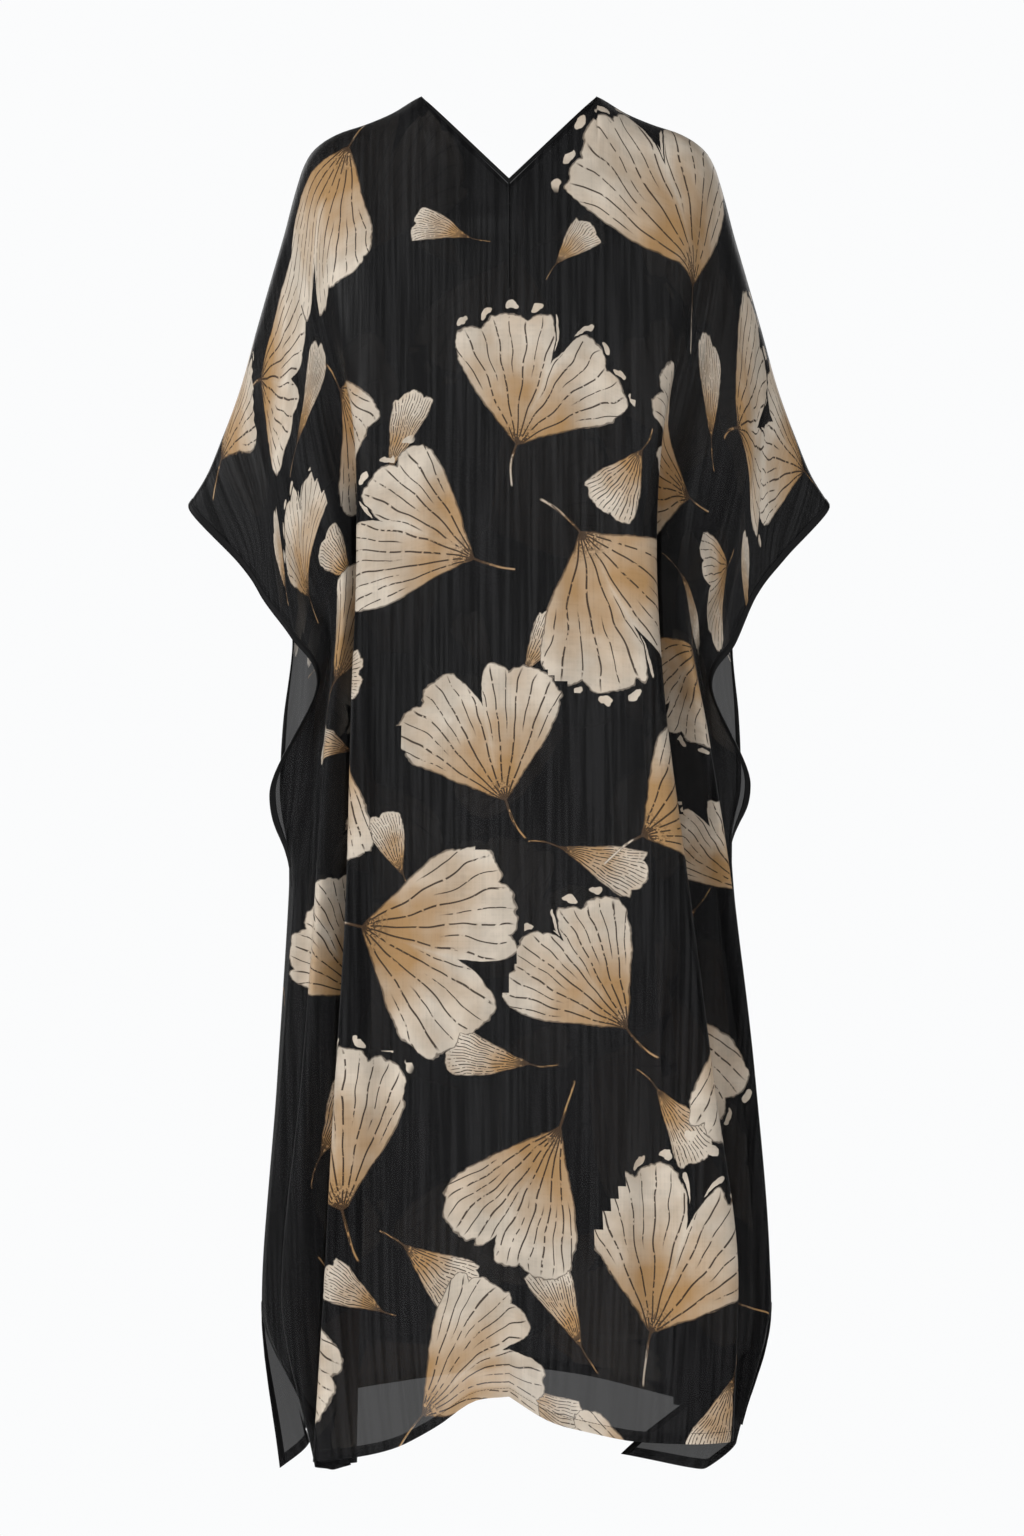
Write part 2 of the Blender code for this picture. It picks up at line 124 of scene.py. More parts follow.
FRONT_RIGHT_FOLDS = [Folds(*row) for row in (
    ("yoke", 181, 58, 204, 46, 226, 44, 245, 34),
    ("chest", 168, 82, 176, 54, 203, 60, 228, 42),
    ("bust", 152, 97, 144, 46, 179, 68, 204, 42),
    ("elbow", 146, 102, 132, 38, 170, 74, 184, 42),
    ("cuff", 154, 105, 134, 36, 193, 74, 198, 36),
    ("underarm", 177, 108, 148, 40, 218, 62, 206, 28),
    ("thigh", 203, 112, 170, 44, 243, 56, 232, 26),
    ("slit", 227, 114, 190, 48, 258, 54, 246, 26),
    ("hem", 222, 112, 176, 56, 226, 50, 205, 30),
)]
BACK_LEFT_FOLDS = [Folds(*row) for row in (
    ("yoke", 180, 54, 203, 44, 226, 40, 245, 32),
    ("chest", 170, 76, 180, 50, 206, 54, 228, 38),
    ("bust", 160, 88, 152, 42, 186, 60, 206, 38),
    ("elbow", 158, 90, 142, 32, 180, 62, 196, 34),
    ("cuff", 162, 92, 142, 32, 186, 62, 196, 30),
    ("underarm", 168, 96, 146, 36, 194, 58, 202, 26),
    ("thigh", 176, 100, 152, 40, 206, 56, 214, 26),
    ("slit", 188, 104, 160, 44, 218, 54, 230, 26),
    ("hem", 196, 106, 166, 48, 202, 56, 204, 32),
)]
BACK_RIGHT_FOLDS = [Folds(*row) for row in (
    ("yoke", 178, 54, 202, 44, 226, 40, 245, 32),
    ("chest", 166, 77, 178, 48, 205, 55, 228, 38),
    ("bust", 155, 90, 148, 40, 184, 62, 207, 38),
    ("elbow", 153, 92, 138, 30, 182, 64, 198, 34),
    ("cuff", 158, 94, 138, 30, 188, 64, 198, 30),
    ("underarm", 166, 98, 144, 34, 200, 60, 208, 26),
    ("thigh", 178, 102, 154, 38, 218, 58, 226, 26),
    ("slit", 194, 106, 164, 44, 236, 56, 244, 26),
    ("hem", 198, 107, 166, 50, 220, 56, 222, 30),
)]

# The side edge of a half panel below the roll: bound sleeve opening, then side seam, then bound slit. The
# belly is how far the flank line stands out beyond the straight line from the inner fold to the edge.
Edge = namedtuple("Edge", "section out depth height belly")
FRONT_LEFT_EDGE = [Edge(*row) for row in (
    ("yoke", 270, 22, -466, 0),
    ("chest", 243, 34, -506, 0),
    ("bust", 217, 46, -541, 0),
    ("elbow", 191, 52, -586, 0),
    ("cuff", 239, 12, -698, 2),
    ("underarm", 218, 0, -790, 10),
    ("thigh", 230, 0, -985, 10),
    ("slit", 247, 0, -1206, 7),
    ("hem", 158, 30, -1366, 0),
)]
FRONT_RIGHT_EDGE = [Edge(*row) for row in (
    ("yoke", 277, 22, -460, 0),
    ("chest", 248, 34, -497, 0),
    ("bust", 226, 46, -546, 0),
    ("elbow", 202, 52, -589, 0),
    ("cuff", 241, 12, -688, 2),
    ("underarm", 219, 0, -773, 10),
    ("thigh", 239, 0, -985, 10),
    ("slit", 262, 0, -1206, 7),
    ("hem", 112, 32, -1355, 6),
)]
BACK_LEFT_EDGE = [Edge(*row) for row in (
    ("yoke", 270, 18, -462, 0),
    ("chest", 241, 26, -504, 0),
    ("bust", 217, 34, -545, 0),
    ("elbow", 226, 32, -622, 2),
    ("cuff", 229, 14, -692, 6),
    ("underarm", 218, 0, -790, 10),
    ("thigh", 230, 0, -985, 10),
    ("slit", 247, 0, -1206, 7),
    ("hem", 229, 7, -1371, -10),
)]
BACK_RIGHT_EDGE = [Edge(*row) for row in (
    ("yoke", 275, 18, -460, 0),
    ("chest", 248, 26, -498, 0),
    ("bust", 224, 34, -548, 0),
    ("elbow", 230, 32, -616, 2),
    ("cuff", 232, 14, -680, 6),
    ("underarm", 219, 0, -773, 10),
    ("thigh", 239, 0, -985, 10),
    ("slit", 262, 0, -1206, 7),
    ("hem", 233, 7, -1328, 2),
)]

# The hem's height at shares of the half width: front left, front right, back left, back right
HEM_SHARES = (0.00, 0.05, 0.10, 0.15, 0.33, 0.45, 0.58, 0.70, 0.88, 1.00)
HEM_HEIGHTS = {
    (True, -1): (-1293, -1298, -1322, -1340, -1358, -1362, -1366, -1369, -1370, -1366),
    (True, 1): (-1293, -1318, -1329, -1337, -1338, -1336, -1340, -1364, -1368, -1355),
    (False, -1): (-1275, -1279, -1284, -1289, -1307, -1318, -1331, -1342, -1350, -1371),
    (False, 1): (-1275, -1278, -1283, -1290, -1316, -1310, -1318, -1320, -1324, -1328),
}
HALF_TABLES = {
    (True, -1): (FRONT_LEFT_FOLDS, FRONT_LEFT_EDGE),
    (True, 1): (FRONT_RIGHT_FOLDS, FRONT_RIGHT_EDGE),
    (False, -1): (BACK_LEFT_FOLDS, BACK_LEFT_EDGE),
    (False, 1): (BACK_RIGHT_FOLDS, BACK_RIGHT_EDGE),
}

# Long troughs in the faces of the panels, each deepening over a length of cloth
Trough = namedtuple("Trough", "front side share reach depth top full")
TROUGHS = [Trough(*row) for row in (
    (True, 1, 0.195, 0.055, 15, 860, 1120),
    (True, -1, 0.195, 0.060, 7, 560, 1000),
    (True, 1, 0.050, 0.060, 5, 700, 1150),
    (False, 1, 0.195, 0.055, 9, 420, 900),
    (False, -1, 0.240, 0.055, 10, 620, 1100),
    (False, -1, 0.100, 0.055, 6, 500, 900),
)]

# Fine creases placed on the cut: from one place to another in millimetres across from the centre
# line and down from the shoulder, then half width, height (a trough where negative) and sideways bow
Crease = namedtuple("Crease", "x0 y0 x1 y1 reach height bow")
FRONT_CREASES = [Crease(*row) for row in (
    (-58, 166, 4, 146, 7, 2.6, 2),
    (-46, 182, 2, 158, 7, -2.0, 2),
    (-18, 142, 14, 118, 6, 2.0, -2),
    (-120, 20, -30, 128, 9, 1.0, 4),
    (120, 24, 34, 124, 9, 0.9, -4),
    (-150, 40, -128, 330, 12, 1.5, 8),
    (148, 36, 126, 300, 12, 1.3, -8),
    (-86, 190, -74, 620, 9, 1.3, 5),
    (-62, 260, -48, 780, 10, -1.4, 4),
    (-34, 300, -30, 560, 8, 1.0, -3),
    (-10, 340, -4, 900, 9, 1.1, 4),
    (26, 260, 22, 700, 10, -1.3, -4),
    (52, 300, 46, 820, 9, 1.2, 5),
    (84, 220, 70, 640, 11, -1.2, 6),
    (112, 320, 100, 900, 10, 1.3, -6),
    (-118, 420, -104, 960, 12, 1.5, -6),
    (-138, 600, -120, 1180, 11, -1.6, 6),
    (-92, 760, -96, 1310, 13, 1.8, 8),
    (-60, 900, -66, 1330, 11, -1.7, -6),
    (-24, 820, -34, 1300, 12, 1.6, 5),
    (14, 960, 10, 1320, 10, 1.4, 5),
    (74, 820, 84, 1330, 12, 1.7, -8),
    (150, 700, 158, 1200, 12, 1.5, 6),
    (-168, 860, -172, 1330, 12, 1.8, 6),
    (-240, 60, -214, 420, 12, 1.8, 8),
    (236, 70, 212, 400, 12, 1.8, -8),
    (-300, 40, -262, 360, 13, -2.0, 9),
    (304, 50, 262, 350, 13, -2.0, -9),
    (-370, 30, -318, 300, 14, 1.9, 10),
    (372, 36, 322, 290, 14, 1.8, -10),
    (-450, 26, -400, 190, 14, -1.7, 8),
    (452, 30, 398, 200, 14, -1.7, -8),
    (-300, 480, -286, 760, 10, 1.5, 6),
    (300, 480, 282, 740, 10, 1.5, -6),
    (-306, 820, -300, 1240, 12, -1.8, 8),
    (318, 840, 322, 1220, 12, -1.8, -8),
)]
BACK_CREASES = [Crease(*row) for row in (
    (-52, 150, 0, 138, 7, 1.2, 2),
    (54, 158, 4, 146, 7, -1.1, -2),
    (-128, 26, -36, 122, 9, 1.0, 4),
    (124, 22, 40, 126, 9, 1.0, -4),
    (-142, 60, -120, 360, 12, 1.4, 7),
    (146, 50, 124, 340, 12, 1.4, -7),
    (-94, 240, -84, 700, 10, 1.4, -5),
    (-58, 200, -56, 640, 10, -1.3, 5),
    (-22, 280, -28, 860, 9, 1.2, 4),
    (18, 240, 24, 600, 10, -1.2, 3),
    (60, 260, 54, 840, 10, 1.4, -5),
    (98, 300, 90, 780, 11, -1.4, 6),
    (-120, 520, -112, 1120, 12, -1.6, 6),
    (-66, 760, -74, 1300, 12, 1.7, -7),
    (-10, 900, -4, 1310, 12, -1.5, 6),
    (40, 820, 48, 1320, 12, 1.6, 7),
    (118, 760, 128, 1300, 12, 1.7, -7),
    (166, 640, 172, 1180, 12, -1.6, 6),
    (-172, 700, -168, 1290, 12, 1.7, 7),
    (-236, 60, -210, 430, 12, 1.8, 8),
    (240, 60, 214, 410, 12, 1.7, -8),
    (-306, 50, -264, 350, 13, -1.9, 9),
    (300, 44, 260, 360, 13, -2.0, -9),
    (-376, 34, -322, 300, 14, 1.8, 10),
    (368, 30, 316, 300, 14, 1.9, -10),
    (-446, 28, -398, 200, 14, -1.7, 8),
    (448, 26, 402, 190, 14, -1.6, -8),
    (-296, 820, -290, 1240, 12, 1.8, 8),
    (300, 840, 306, 1240, 12, 1.8, -8),
)]
CREASE_FADE_TOP = 34.0     # millimetres over which creases fade towards the shoulder seam and the neck
CREASE_FADE_SIDE = 26.0    # and towards the side edges

# Printed leaves, placed on the cut: millimetres across and down, radius that the leaf fills, the turn of
# its tip in degrees from straight up, half the fan's angle in degrees and how deep its middle is split
Leaf = namedtuple("Leaf", "x y size turn fan split")
FRONT_LEAVES = [Leaf(*row) for row in (
    (-196, 96, 92, 214, 52, 0.30),
    (176, 112, 112, -28, 58, 0.34),
    (-352, 118, 96, 128, 46, 0.22),
    (376, 140, 98, 40, 50, 0.28),
    (-476, 46, 74, 80, 44, 0.20),
    (492, 64, 78, -110, 46, 0.24),
    (24, 338, 92, 18, 56, 0.32),
    (-214, 300, 98, 166, 40, 0.14),
    (232, 340, 96, -104, 52, 0.26),
    (-352, 330, 82, 20, 48, 0.26),
    (372, 340, 70, 200, 44, 0.18),
    (-84, 476, 100, -66, 48, 0.24),
    (108, 520, 112, 142, 60, 0.36),
    (-270, 520, 92, 34, 42, 0.16),
    (292, 560, 92, 204, 50, 0.26),
    (-20, 690, 98, -18, 50, 0.28),
    (-196, 712, 104, 192, 38, 0.12),
    (184, 748, 108, 62, 54, 0.32),
    (330, 800, 86, -30, 46, 0.22),
    (-90, 884, 110, 104, 58, 0.34),
    (84, 930, 96, -40, 44, 0.20),
    (-288, 900, 92, -42, 48, 0.26),
    (262, 992, 100, 166, 52, 0.30),
    (-180, 1080, 104, -12, 50, 0.30),
    (24, 1112, 102, 208, 40, 0.16),
    (162, 1190, 104, 16, 56, 0.32),
    (-48, 1300, 96, 64, 52, 0.26),
    (-262, 1250, 94, 152, 46, 0.24),
    (310, 1200, 84, -70, 48, 0.20),
    (124, 1380, 74, -100, 50, 0.24),
    (-166, 1396, 60, 10, 48, 0.20),
)]
BACK_LEAVES = [Leaf(*row) for row in (
    (-152, 110, 108, 30, 56, 0.32),
    (190, 100, 96, 150, 46, 0.20),
    (350, 130, 98, -130, 50, 0.28),
    (-370, 120, 98, -36, 50, 0.26),
    (480, 50, 74, -80, 44, 0.20),
    (-490, 60, 76, 110, 46, 0.24),
    (-6, 240, 98, 196, 44, 0.20),
    (-206, 330, 104, 100, 52, 0.30),
    (212, 306, 106, -24, 58, 0.34),
    (366, 330, 80, 160, 46, 0.20),
    (-360, 340, 80, -160, 46, 0.20),
    (26, 440, 100, 60, 52, 0.30),
    (-120, 540, 104, -30, 48, 0.24),
    (160, 560, 110, 212, 56, 0.32),
    (-290, 560, 92, 140, 48, 0.26),
    (310, 580, 86, 30, 44, 0.20),
    (10, 680, 96, -100, 44, 0.20),
    (-176, 760, 108, 170, 58, 0.36),
    (180, 790, 100, 10, 50, 0.28),
    (0, 880, 104, 36, 52, 0.30),
    (-300, 900, 92, 60, 46, 0.24),
    (300, 930, 94, -140, 50, 0.26),
    (-140, 1000, 98, -64, 44, 0.18),
    (130, 1040, 106, 120, 56, 0.34),
    (-20, 1150, 104, 190, 50, 0.28),
    (-230, 1180, 100, 24, 52, 0.30),
    (230, 1210, 98, -20, 48, 0.24),
    (80, 1290, 90, 80, 50, 0.26),
    (-120, 1330, 88, 150, 48, 0.24),
    (330, 1110, 70, 60, 46, 0.20),
    (210, 1390, 62, -60, 48, 0.20),
)]

# Smaller and narrower leaves that lie under the large ones
FRONT_SPRIGS = [Leaf(*row) for row in (
    (-60, 170, 44, -70, 20, 0.0),
    (60, 190, 40, 40, 22, 0.0),
    (-290, 210, 58, 60, 22, 0.0),
    (286, 210, 62, -20, 24, 0.0),
    (-420, 250, 52, 10, 22, 0.0),
    (446, 250, 50, -30, 20, 0.0),
    (-110, 372, 56, 20, 20, 0.0),
    (120, 400, 60, -150, 24, 0.0),
    (-290, 420, 62, -20, 20, 0.0),
    (310, 450, 60, 120, 22, 0.0),
    (-200, 596, 62, 96, 22, 0.0),
    (28, 590, 48, 30, 20, 0.0),
    (200, 624, 62, 20, 22, 0.0),
    (-300, 640, 56, -60, 22, 0.0),
    (82, 800, 66, 110, 20, 0.0),
    (-114, 792, 48, -20, 22, 0.0),
    (280, 880, 58, 220, 20, 0.0),
    (-210, 800, 54, 60, 22, 0.0),
    (-10, 1000, 60, -80, 20, 0.0),
    (168, 1050, 58, 140, 22, 0.0),
    (-290, 1060, 60, 30, 20, 0.0),
    (-80, 1190, 62, 130, 22, 0.0),
    (60, 1236, 60, -30, 20, 0.0),
    (250, 1120, 56, 60, 22, 0.0),
    (-150, 1210, 50, -60, 20, 0.0),
    (30, 1330, 56, 100, 22, 0.0),
    (226, 1310, 60, 200, 20, 0.0),
)]
BACK_SPRIGS = [leaf._replace(x=-leaf.x, turn=-leaf.turn) for leaf in FRONT_SPRIGS]

Panel = namedtuple("Panel", "word front creases prints")
FRONT = Panel("front", True, FRONT_CREASES, {"leaf": FRONT_LEAVES, "sprig": FRONT_SPRIGS})
BACK = Panel("back", False, BACK_CREASES, {"leaf": BACK_LEAVES, "sprig": BACK_SPRIGS})
SIDE_WORDS = {-1: "left", 1: "right"}

# Cross sections of the edge trims: distance in from the edge and height over the cloth's middle, both as
# shares of the trim's width and of its own height
BINDING_PROFILE = (
    (-0.07, 0.0), (-0.05, 0.6), (0.05, 0.92), (0.30, 1.0), (0.62, 0.96), (0.84, 0.84), (0.97, 0.72),
    (1.0, 0.4), (1.0, -0.4), (0.97, -0.72), (0.84, -0.84), (0.62, -0.96), (0.30, -1.0), (0.05, -0.92),
    (-0.05, -0.6),
)
HEM_PROFILE = ((0.01, -0.5), (0.5, -0.5), (1.0, -0.5), (1.0, -1.1), (0.5, -1.25), (0.01, -1.1))
BINDING_SWELL = 0.16       # how much a binding's height varies along it
BINDING_WAVES = (0.031, 0.012)  # lengths of that swell, in metres
WAVE_SHIFT = 900           # sets where each swell starts, in radians for each metre of its length
TRIM_DEPTH = 5             # grid lines in from the edge that a trim follows

TACK_DROPS = (142.0, 181.0)  # the two tacks that hold the closure, in millimetres of drop
SEAM_END = 234.0           # drop at which the pressed closure seam ends, in millimetres
SEAM_WIDTH = 2.6 * MM
SEAM_HEIGHT = 0.85 * MM
SEAM_PROFILE = (
    (-0.5, 0.1), (-0.3, 0.8), (-0.08, 1.0), (0.0, 0.55), (0.08, 1.0), (0.3, 0.8), (0.5, 0.1), (0.0, -0.1),
)
TACK_SIZE = (0.9 * MM, 1.0 * MM, 4.2 * MM)
TACK_LIFT = 0.6 * MM       # of a tack's middle over the cloth's
TACK_ROUNDING = 0.2 * MM
SHARP_ANGLE = np.radians(50)
HEM_STITCH_ROW = (FULL_DROP - 9.5) * MM  # place of the hem's stitches on the cut
HEM_STITCH = 3.2 * MM
FADED = 0.25               # tone that the print fades to on the wrong side
VOILE_THREAD = 0.7 * MM
BINDING_THREAD = 0.5 * MM

FLOOR_HEIGHT = -1.60
FLOOR_SIZE = 4.6
PAPER_TONES = ((0.86, 0.86, 0.865), (0.90, 0.90, 0.905))
BACKDROP = (0.965, 0.97, 0.975)
CAMERA_DISTANCE = 12.0
VIEW_HEIGHT = 1.536        # metres of height that the picture takes in
VIEW_MIDDLE = (0.003, -0.671)
Lamp = namedtuple("Lamp", "name place aim size power")
LAMPS = [Lamp(*row) for row in (
    ("key", (-3.6, -2.6, 1.4), (0.0, 0.0, -0.6), 1.8, 170.0),
    ("fill", (3.6, -3.0, 0.0), (0.0, 0.0, -0.8), 2.2, 58.0),
    ("front", (0.4, -6.0, 0.6), (0.0, 0.0, -0.7), 2.4, 90.0),
    ("back_left", (-2.6, 3.4, 1.0), (0.0, 0.0, -0.7), 2.2, 75.0),
    ("back_right", (2.8, 3.4, 1.2), (0.0, 0.0, -0.7), 2.2, 75.0),
)]


def length(name, description, default):
    """A length property in metres."""
    return bpy.props.FloatProperty(
        name=name, description=description, default=default, min=0.0, precision=5,
        subtype="DISTANCE", unit="LENGTH",
    )


def share(name, description, default):
    """A property from 0 to 1."""
    return bpy.props.FloatProperty(
        name=name, description=description, default=default, min=0.0, max=1.0, subtype="FACTOR"
    )


def colour(name, description, default):
    """A colour property in linear light."""
    return bpy.props.FloatVectorProperty(
        name=name, description=description, default=default, size=3, min=0.0, max=1.0, subtype="COLOR"
    )


class KaftanSizes(bpy.types.PropertyGroup):
    """Sizes of the cloth and its trims."""

    cloth: length("Cloth", "Thickness of the voile", 0.6 * MM)
    binding: length("Binding width", "Width of the sleeve and slit bindings", 7.0 * MM)
    neck_binding: length("Neck binding width", "Width of the neck binding", 5.0 * MM)
    binding_height: length("Binding height", "Height of a binding over the cloth's middle", 1.0 * MM)
    hem: length("Hem depth", "Depth of the turned-up hem", 11.0 * MM)
    hem_height: length("Hem height", "Height of the turned-up hem over the cloth's middle", 0.8 * MM)
    creases: bpy.props.FloatProperty(
        name="Creases", description="Strength of the fine creases", default=1.5, min=0.0, max=3.0
    )


class KaftanFinish(bpy.types.PropertyGroup):
    """Colours and cover of the cloth, its print and its bindings."""

    ground: colour("Ground", "Black of the dyed voile", (0.0042, 0.0042, 0.0046))
    cream: colour("Cream", "Pale outer part of the leaves", (0.70, 0.61, 0.50))
    tan: colour("Tan", "Warm inner part of the leaves", (0.52, 0.31, 0.135))
    line: colour("Line", "Brown of veins and outlines", (0.034, 0.015, 0.007))
    binding: colour("Binding", "Black of the bindings", (0.0035, 0.0035, 0.0038))
    thread: colour("Thread", "Sewing thread", (0.012, 0.012, 0.013))
    cover: share("Cover", "How much of the light each face of the voile stops", 0.745)


def smooth_line(knots, values, at, level_turns=False):
    """A smooth curve through the values at the knots, read at several places, with Catmull-Rom slopes.

    With level turns it never runs past a value at which it turns back.
    """
    knots, values, at = (np.asarray(x, float) for x in (knots, values, at))
    spans = np.diff(knots)[:, None]
    rises = np.diff(values, axis=0) / spans
    inner = (rises[:-1] * spans[1:] + rises[1:] * spans[:-1]) / (spans[:-1] + spans[1:])
    if level_turns:
        inner[rises[:-1] * rises[1:] <= 0] = 0.0
    slopes = np.concatenate((rises[:1], inner, rises[-1:]))
    i = np.clip(np.searchsorted(knots, at, side="right") - 1, 0, len(knots) - 2)
    t = (at - knots[i])[:, None] / spans[i]
    return (
        (2 * t**3 - 3 * t**2 + 1) * values[i]
        + (t**3 - 2 * t**2 + t) * slopes[i] * spans[i]
        + (3 * t**2 - 2 * t**3) * values[i + 1]
        + (t**3 - t**2) * slopes[i + 1] * spans[i]
    )


def smooth_step(x):
    """0 up to 0, 1 from 1 on, and a smooth rise between."""
    x = np.clip(x, 0, 1)
    return x * x * (3 - 2 * x)


def arm_line(shares):
    """Distance out and height of the shoulder and overarm line, in millimetres."""
    return smooth_line(ARM_LINE[:, 0], ARM_LINE[:, 1:], shares)


def fall(panel, side, section, shares):
    """Share of a section's drop, from its centre line to its side edge, that is reached at these shares."""
    along_arm = (arm_line(shares)[:, 1] - ARM_LINE[0, 2]) / (ARM_LINE[-1, 2] - ARM_LINE[0, 2])
    heights = np.array(HEM_HEIGHTS[panel.front, side], float)
    hem = smooth_line(HEM_SHARES, heights[:, None], shares)[:, 0]
    along_hem = (hem - heights[0]) / (heights[-1] - heights[0])
    return along_arm + (along_hem - along_arm) * SECTIONS[section].hem_share


def section_points(panel, side, section, shares):
    """Distance out, depth and height of one section at shares of the half width, in millimetres."""
    if section < FIRST_FOLDED:
        out, height = arm_line(shares).T
        roll = (ROLL_AT_NECK + (ROLL_AT_CUFF - ROLL_AT_NECK) * shares) / MM * section
        return np.stack((out, roll, height - roll * ROLL_DROP), axis=1)
    folds, edges = HALF_TABLES[panel.front, side]
    folds, edge, place = folds[section - FIRST_FOLDED], edges[section - FIRST_FOLDED], SECTIONS[section]
    centre_depth = place.front_depth if panel.front else place.back_depth
    centre_height = place.front_height if panel.front else place.back_height
    neck_out = folds.ridge_out * NECK_TO_RIDGE
    neck_depth = centre_depth + (folds.ridge_depth - centre_depth) * NECK_TURN
    flank_out = folds.inner_out + (edge.out - folds.inner_out) * EDGE_TURN + edge.belly
    flank_depth = folds.inner_depth + (edge.depth - folds.inner_depth) * EDGE_TURN
    flank_depth += edge.belly * BELLY_DEPTH
    lines = (
        (-neck_out, neck_depth),
        (0, centre_depth),
        (neck_out, neck_depth),
        (folds.ridge_out, folds.ridge_depth),
        (folds.valley_out, folds.valley_depth),
        (folds.second_out, folds.second_depth),
        (folds.inner_out, folds.inner_depth),
        (flank_out, flank_depth),
        (edge.out, edge.depth),
    )
    out, depth = smooth_line((-NECK_SHARE,) + FOLD_SHARES, lines, shares).T
    height = centre_height + (edge.height - centre_height) * fall(panel, side, section, shares)
    return np.stack((out, depth, height), axis=1)


def trough_depth(panel, side, place, drops):
    """How far the long troughs sink the cloth at one share of the width, in millimetres."""
    total = np.zeros(len(drops))
    for trough in TROUGHS:
        if trough.front == panel.front:
            off = (side * place - trough.side * trough.share) / trough.reach
            along = smooth_step((drops * FULL_DROP - trough.top) / (trough.full - trough.top))
            total += trough.depth * max(1 - off * off, 0) ** 2 * along
    return total


def column_points(panel, side, place, sections, drops):
    """The cloth in metres along one column, from its points on the sections."""
    mirrored = sections[1] * (1, -1, 1)
    knots = [-DROPS[1]] + DROPS
    values = np.concatenate(([mirrored], sections))
    out, depth, height = smooth_line(knots, values, drops, level_turns=True).T * MM
    depth = np.maximum(depth - trough_depth(panel, side, place, drops) * MM, SEAM_GAP / 2)
    return np.stack((side * out, -depth if panel.front else depth, height), axis=1)


def neck_start(panel, side, place, sections):
    """The drop at which a column starts: 0 on the shoulder, and on the V line between the neck points."""
    if place >= NECK_SHARE:
        return 0.0
    low, high = 0.0, DROPS[SECTION_NAMES.index("chest")]
    for _ in range(24):
        middle = (low + high) / 2
        x, _, z = column_points(panel, side, place, sections, np.array([middle]))[0]
        if z > -V_DEPTH * (1 - abs(x) / NECK_HALF):
            low = middle
        else:
            high = middle
    return high


def spread(knots, steps):
    """The knots with evenly spaced values between them."""
    parts = [np.linspace(a, b, count, endpoint=False) for a, b, count in zip(knots, knots[1:], steps)]
    return np.concatenate(parts + [knots[-1:]])


def row_drops():
    """The drops of the rows, about one row pitch apart, with a row on every section."""
    steps = [max(1, round((b.drop - a.drop) / ROW_PITCH)) for a, b in zip(SECTIONS, SECTIONS[1:])]
    return spread(DROPS, steps)


def section_row(name):
    """The row that lies on a section."""
    return int(np.argmin(np.abs(row_drops() - DROPS[SECTION_NAMES.index(name)])))


def crease_height(creases, across, down):
    """How far the fine creases lift the cloth at places on the cut, all in millimetres."""
    total = np.zeros_like(across)
    for crease in creases:
        run = np.array((crease.x1 - crease.x0, crease.y1 - crease.y0), float)
        length_of_run = np.hypot(*run)
        along_x, along_y = run / length_of_run
        dx, dy = across - crease.x0, down - crease.y0
        t = np.clip((dx * along_x + dy * along_y) / length_of_run, 0, 1)
        bow = crease.bow * np.sin(np.pi * t)
        off = (dy * along_x - dx * along_y - bow) / crease.reach
        total += crease.height * np.exp(-off * off) * np.sin(np.pi * t) ** 1.2
    return total


def cloth_normals(points, outward):
    """Unit normals of a lofted surface, pointing out of the garment."""
    across, down = np.gradient(points, axis=1), np.gradient(points, axis=0)
    normals = np.cross(across, down) * outward
    return normals / np.maximum(np.linalg.norm(normals, axis=2, keepdims=True), 1e-12)


Cloth = namedtuple("Cloth", "points normals across down")


@lru_cache(maxsize=None)
def cloth(front, crease_strength):
    """One panel's middle surface in metres, its outward normals, and each point's place on the cut."""
    panel = FRONT if front else BACK
    shares = spread(FOLD_SHARES, COLUMN_STEPS)
    rows = row_drops()
    blended = DROPS[SECTION_NAMES.index("elbow")]
    halves = []
    for side in (-1, 1):
        sections = np.stack([section_points(panel, side, i, shares) for i in range(len(SECTIONS))])
        even = np.stack(
            [column_points(panel, side, s, sections[:, i], rows) for i, s in enumerate(shares)], axis=1
        )
        gaps = np.linalg.norm(np.diff(even, axis=1), axis=2)
        width = np.concatenate((np.zeros((len(rows), 1)), np.cumsum(gaps, axis=1)), axis=1)
        points, across, down = np.zeros_like(even), np.zeros_like(width), np.zeros_like(width)
        for i, s in enumerate(shares):
            start = neck_start(panel, side, s, sections[:, i])
            drops = np.where(rows < blended, start + rows * (1 - start / blended), rows)
            points[:, i] = column_points(panel, side, s, sections[:, i], drops)
            across[:, i] = side * np.interp(drops, rows, width[:, i])
            down[:, i] = drops * FULL_DROP * MM
        halves.append((points, across, down))
    points, across, down = (
        np.concatenate((left[:, :0:-1], right), axis=1) for left, right in zip(*halves)
    )
    outward = -1 if front else 1
    points = close_seams(points, outward)
    normals = cloth_normals(points, outward)
    lift = crease_height(panel.creases, across / MM, down / MM) * crease_strength * MM
    top = np.linalg.norm(points - points[:1], axis=2) / MM
    side_gap = np.minimum(
        np.linalg.norm(points - points[:, :1], axis=2), np.linalg.norm(points - points[:, -1:], axis=2)
    ) / MM
    lift *= smooth_step(top / CREASE_FADE_TOP) * smooth_step(side_gap / CREASE_FADE_SIDE)
    points = close_seams(points + normals * lift[..., None], outward)
    return Cloth(points, cloth_normals(points, outward), across, down)


def close_seams(points, outward):
    """Sets the shoulder, overarm and side seam points half a seam gap from the garment's middle plane."""
    points = points.copy()
    middle = points.shape[1] // 2
    at_shoulder = np.abs(np.arange(points.shape[1]) - middle) >= COLUMN_STEPS[0]
    points[0, at_shoulder, 1] = outward * SEAM_GAP / 2
    seam = slice(section_row("underarm"), section_row("slit") + 1)
    for column in (0, -1):
        points[seam, column, 1] = outward * SEAM_GAP / 2
    return points


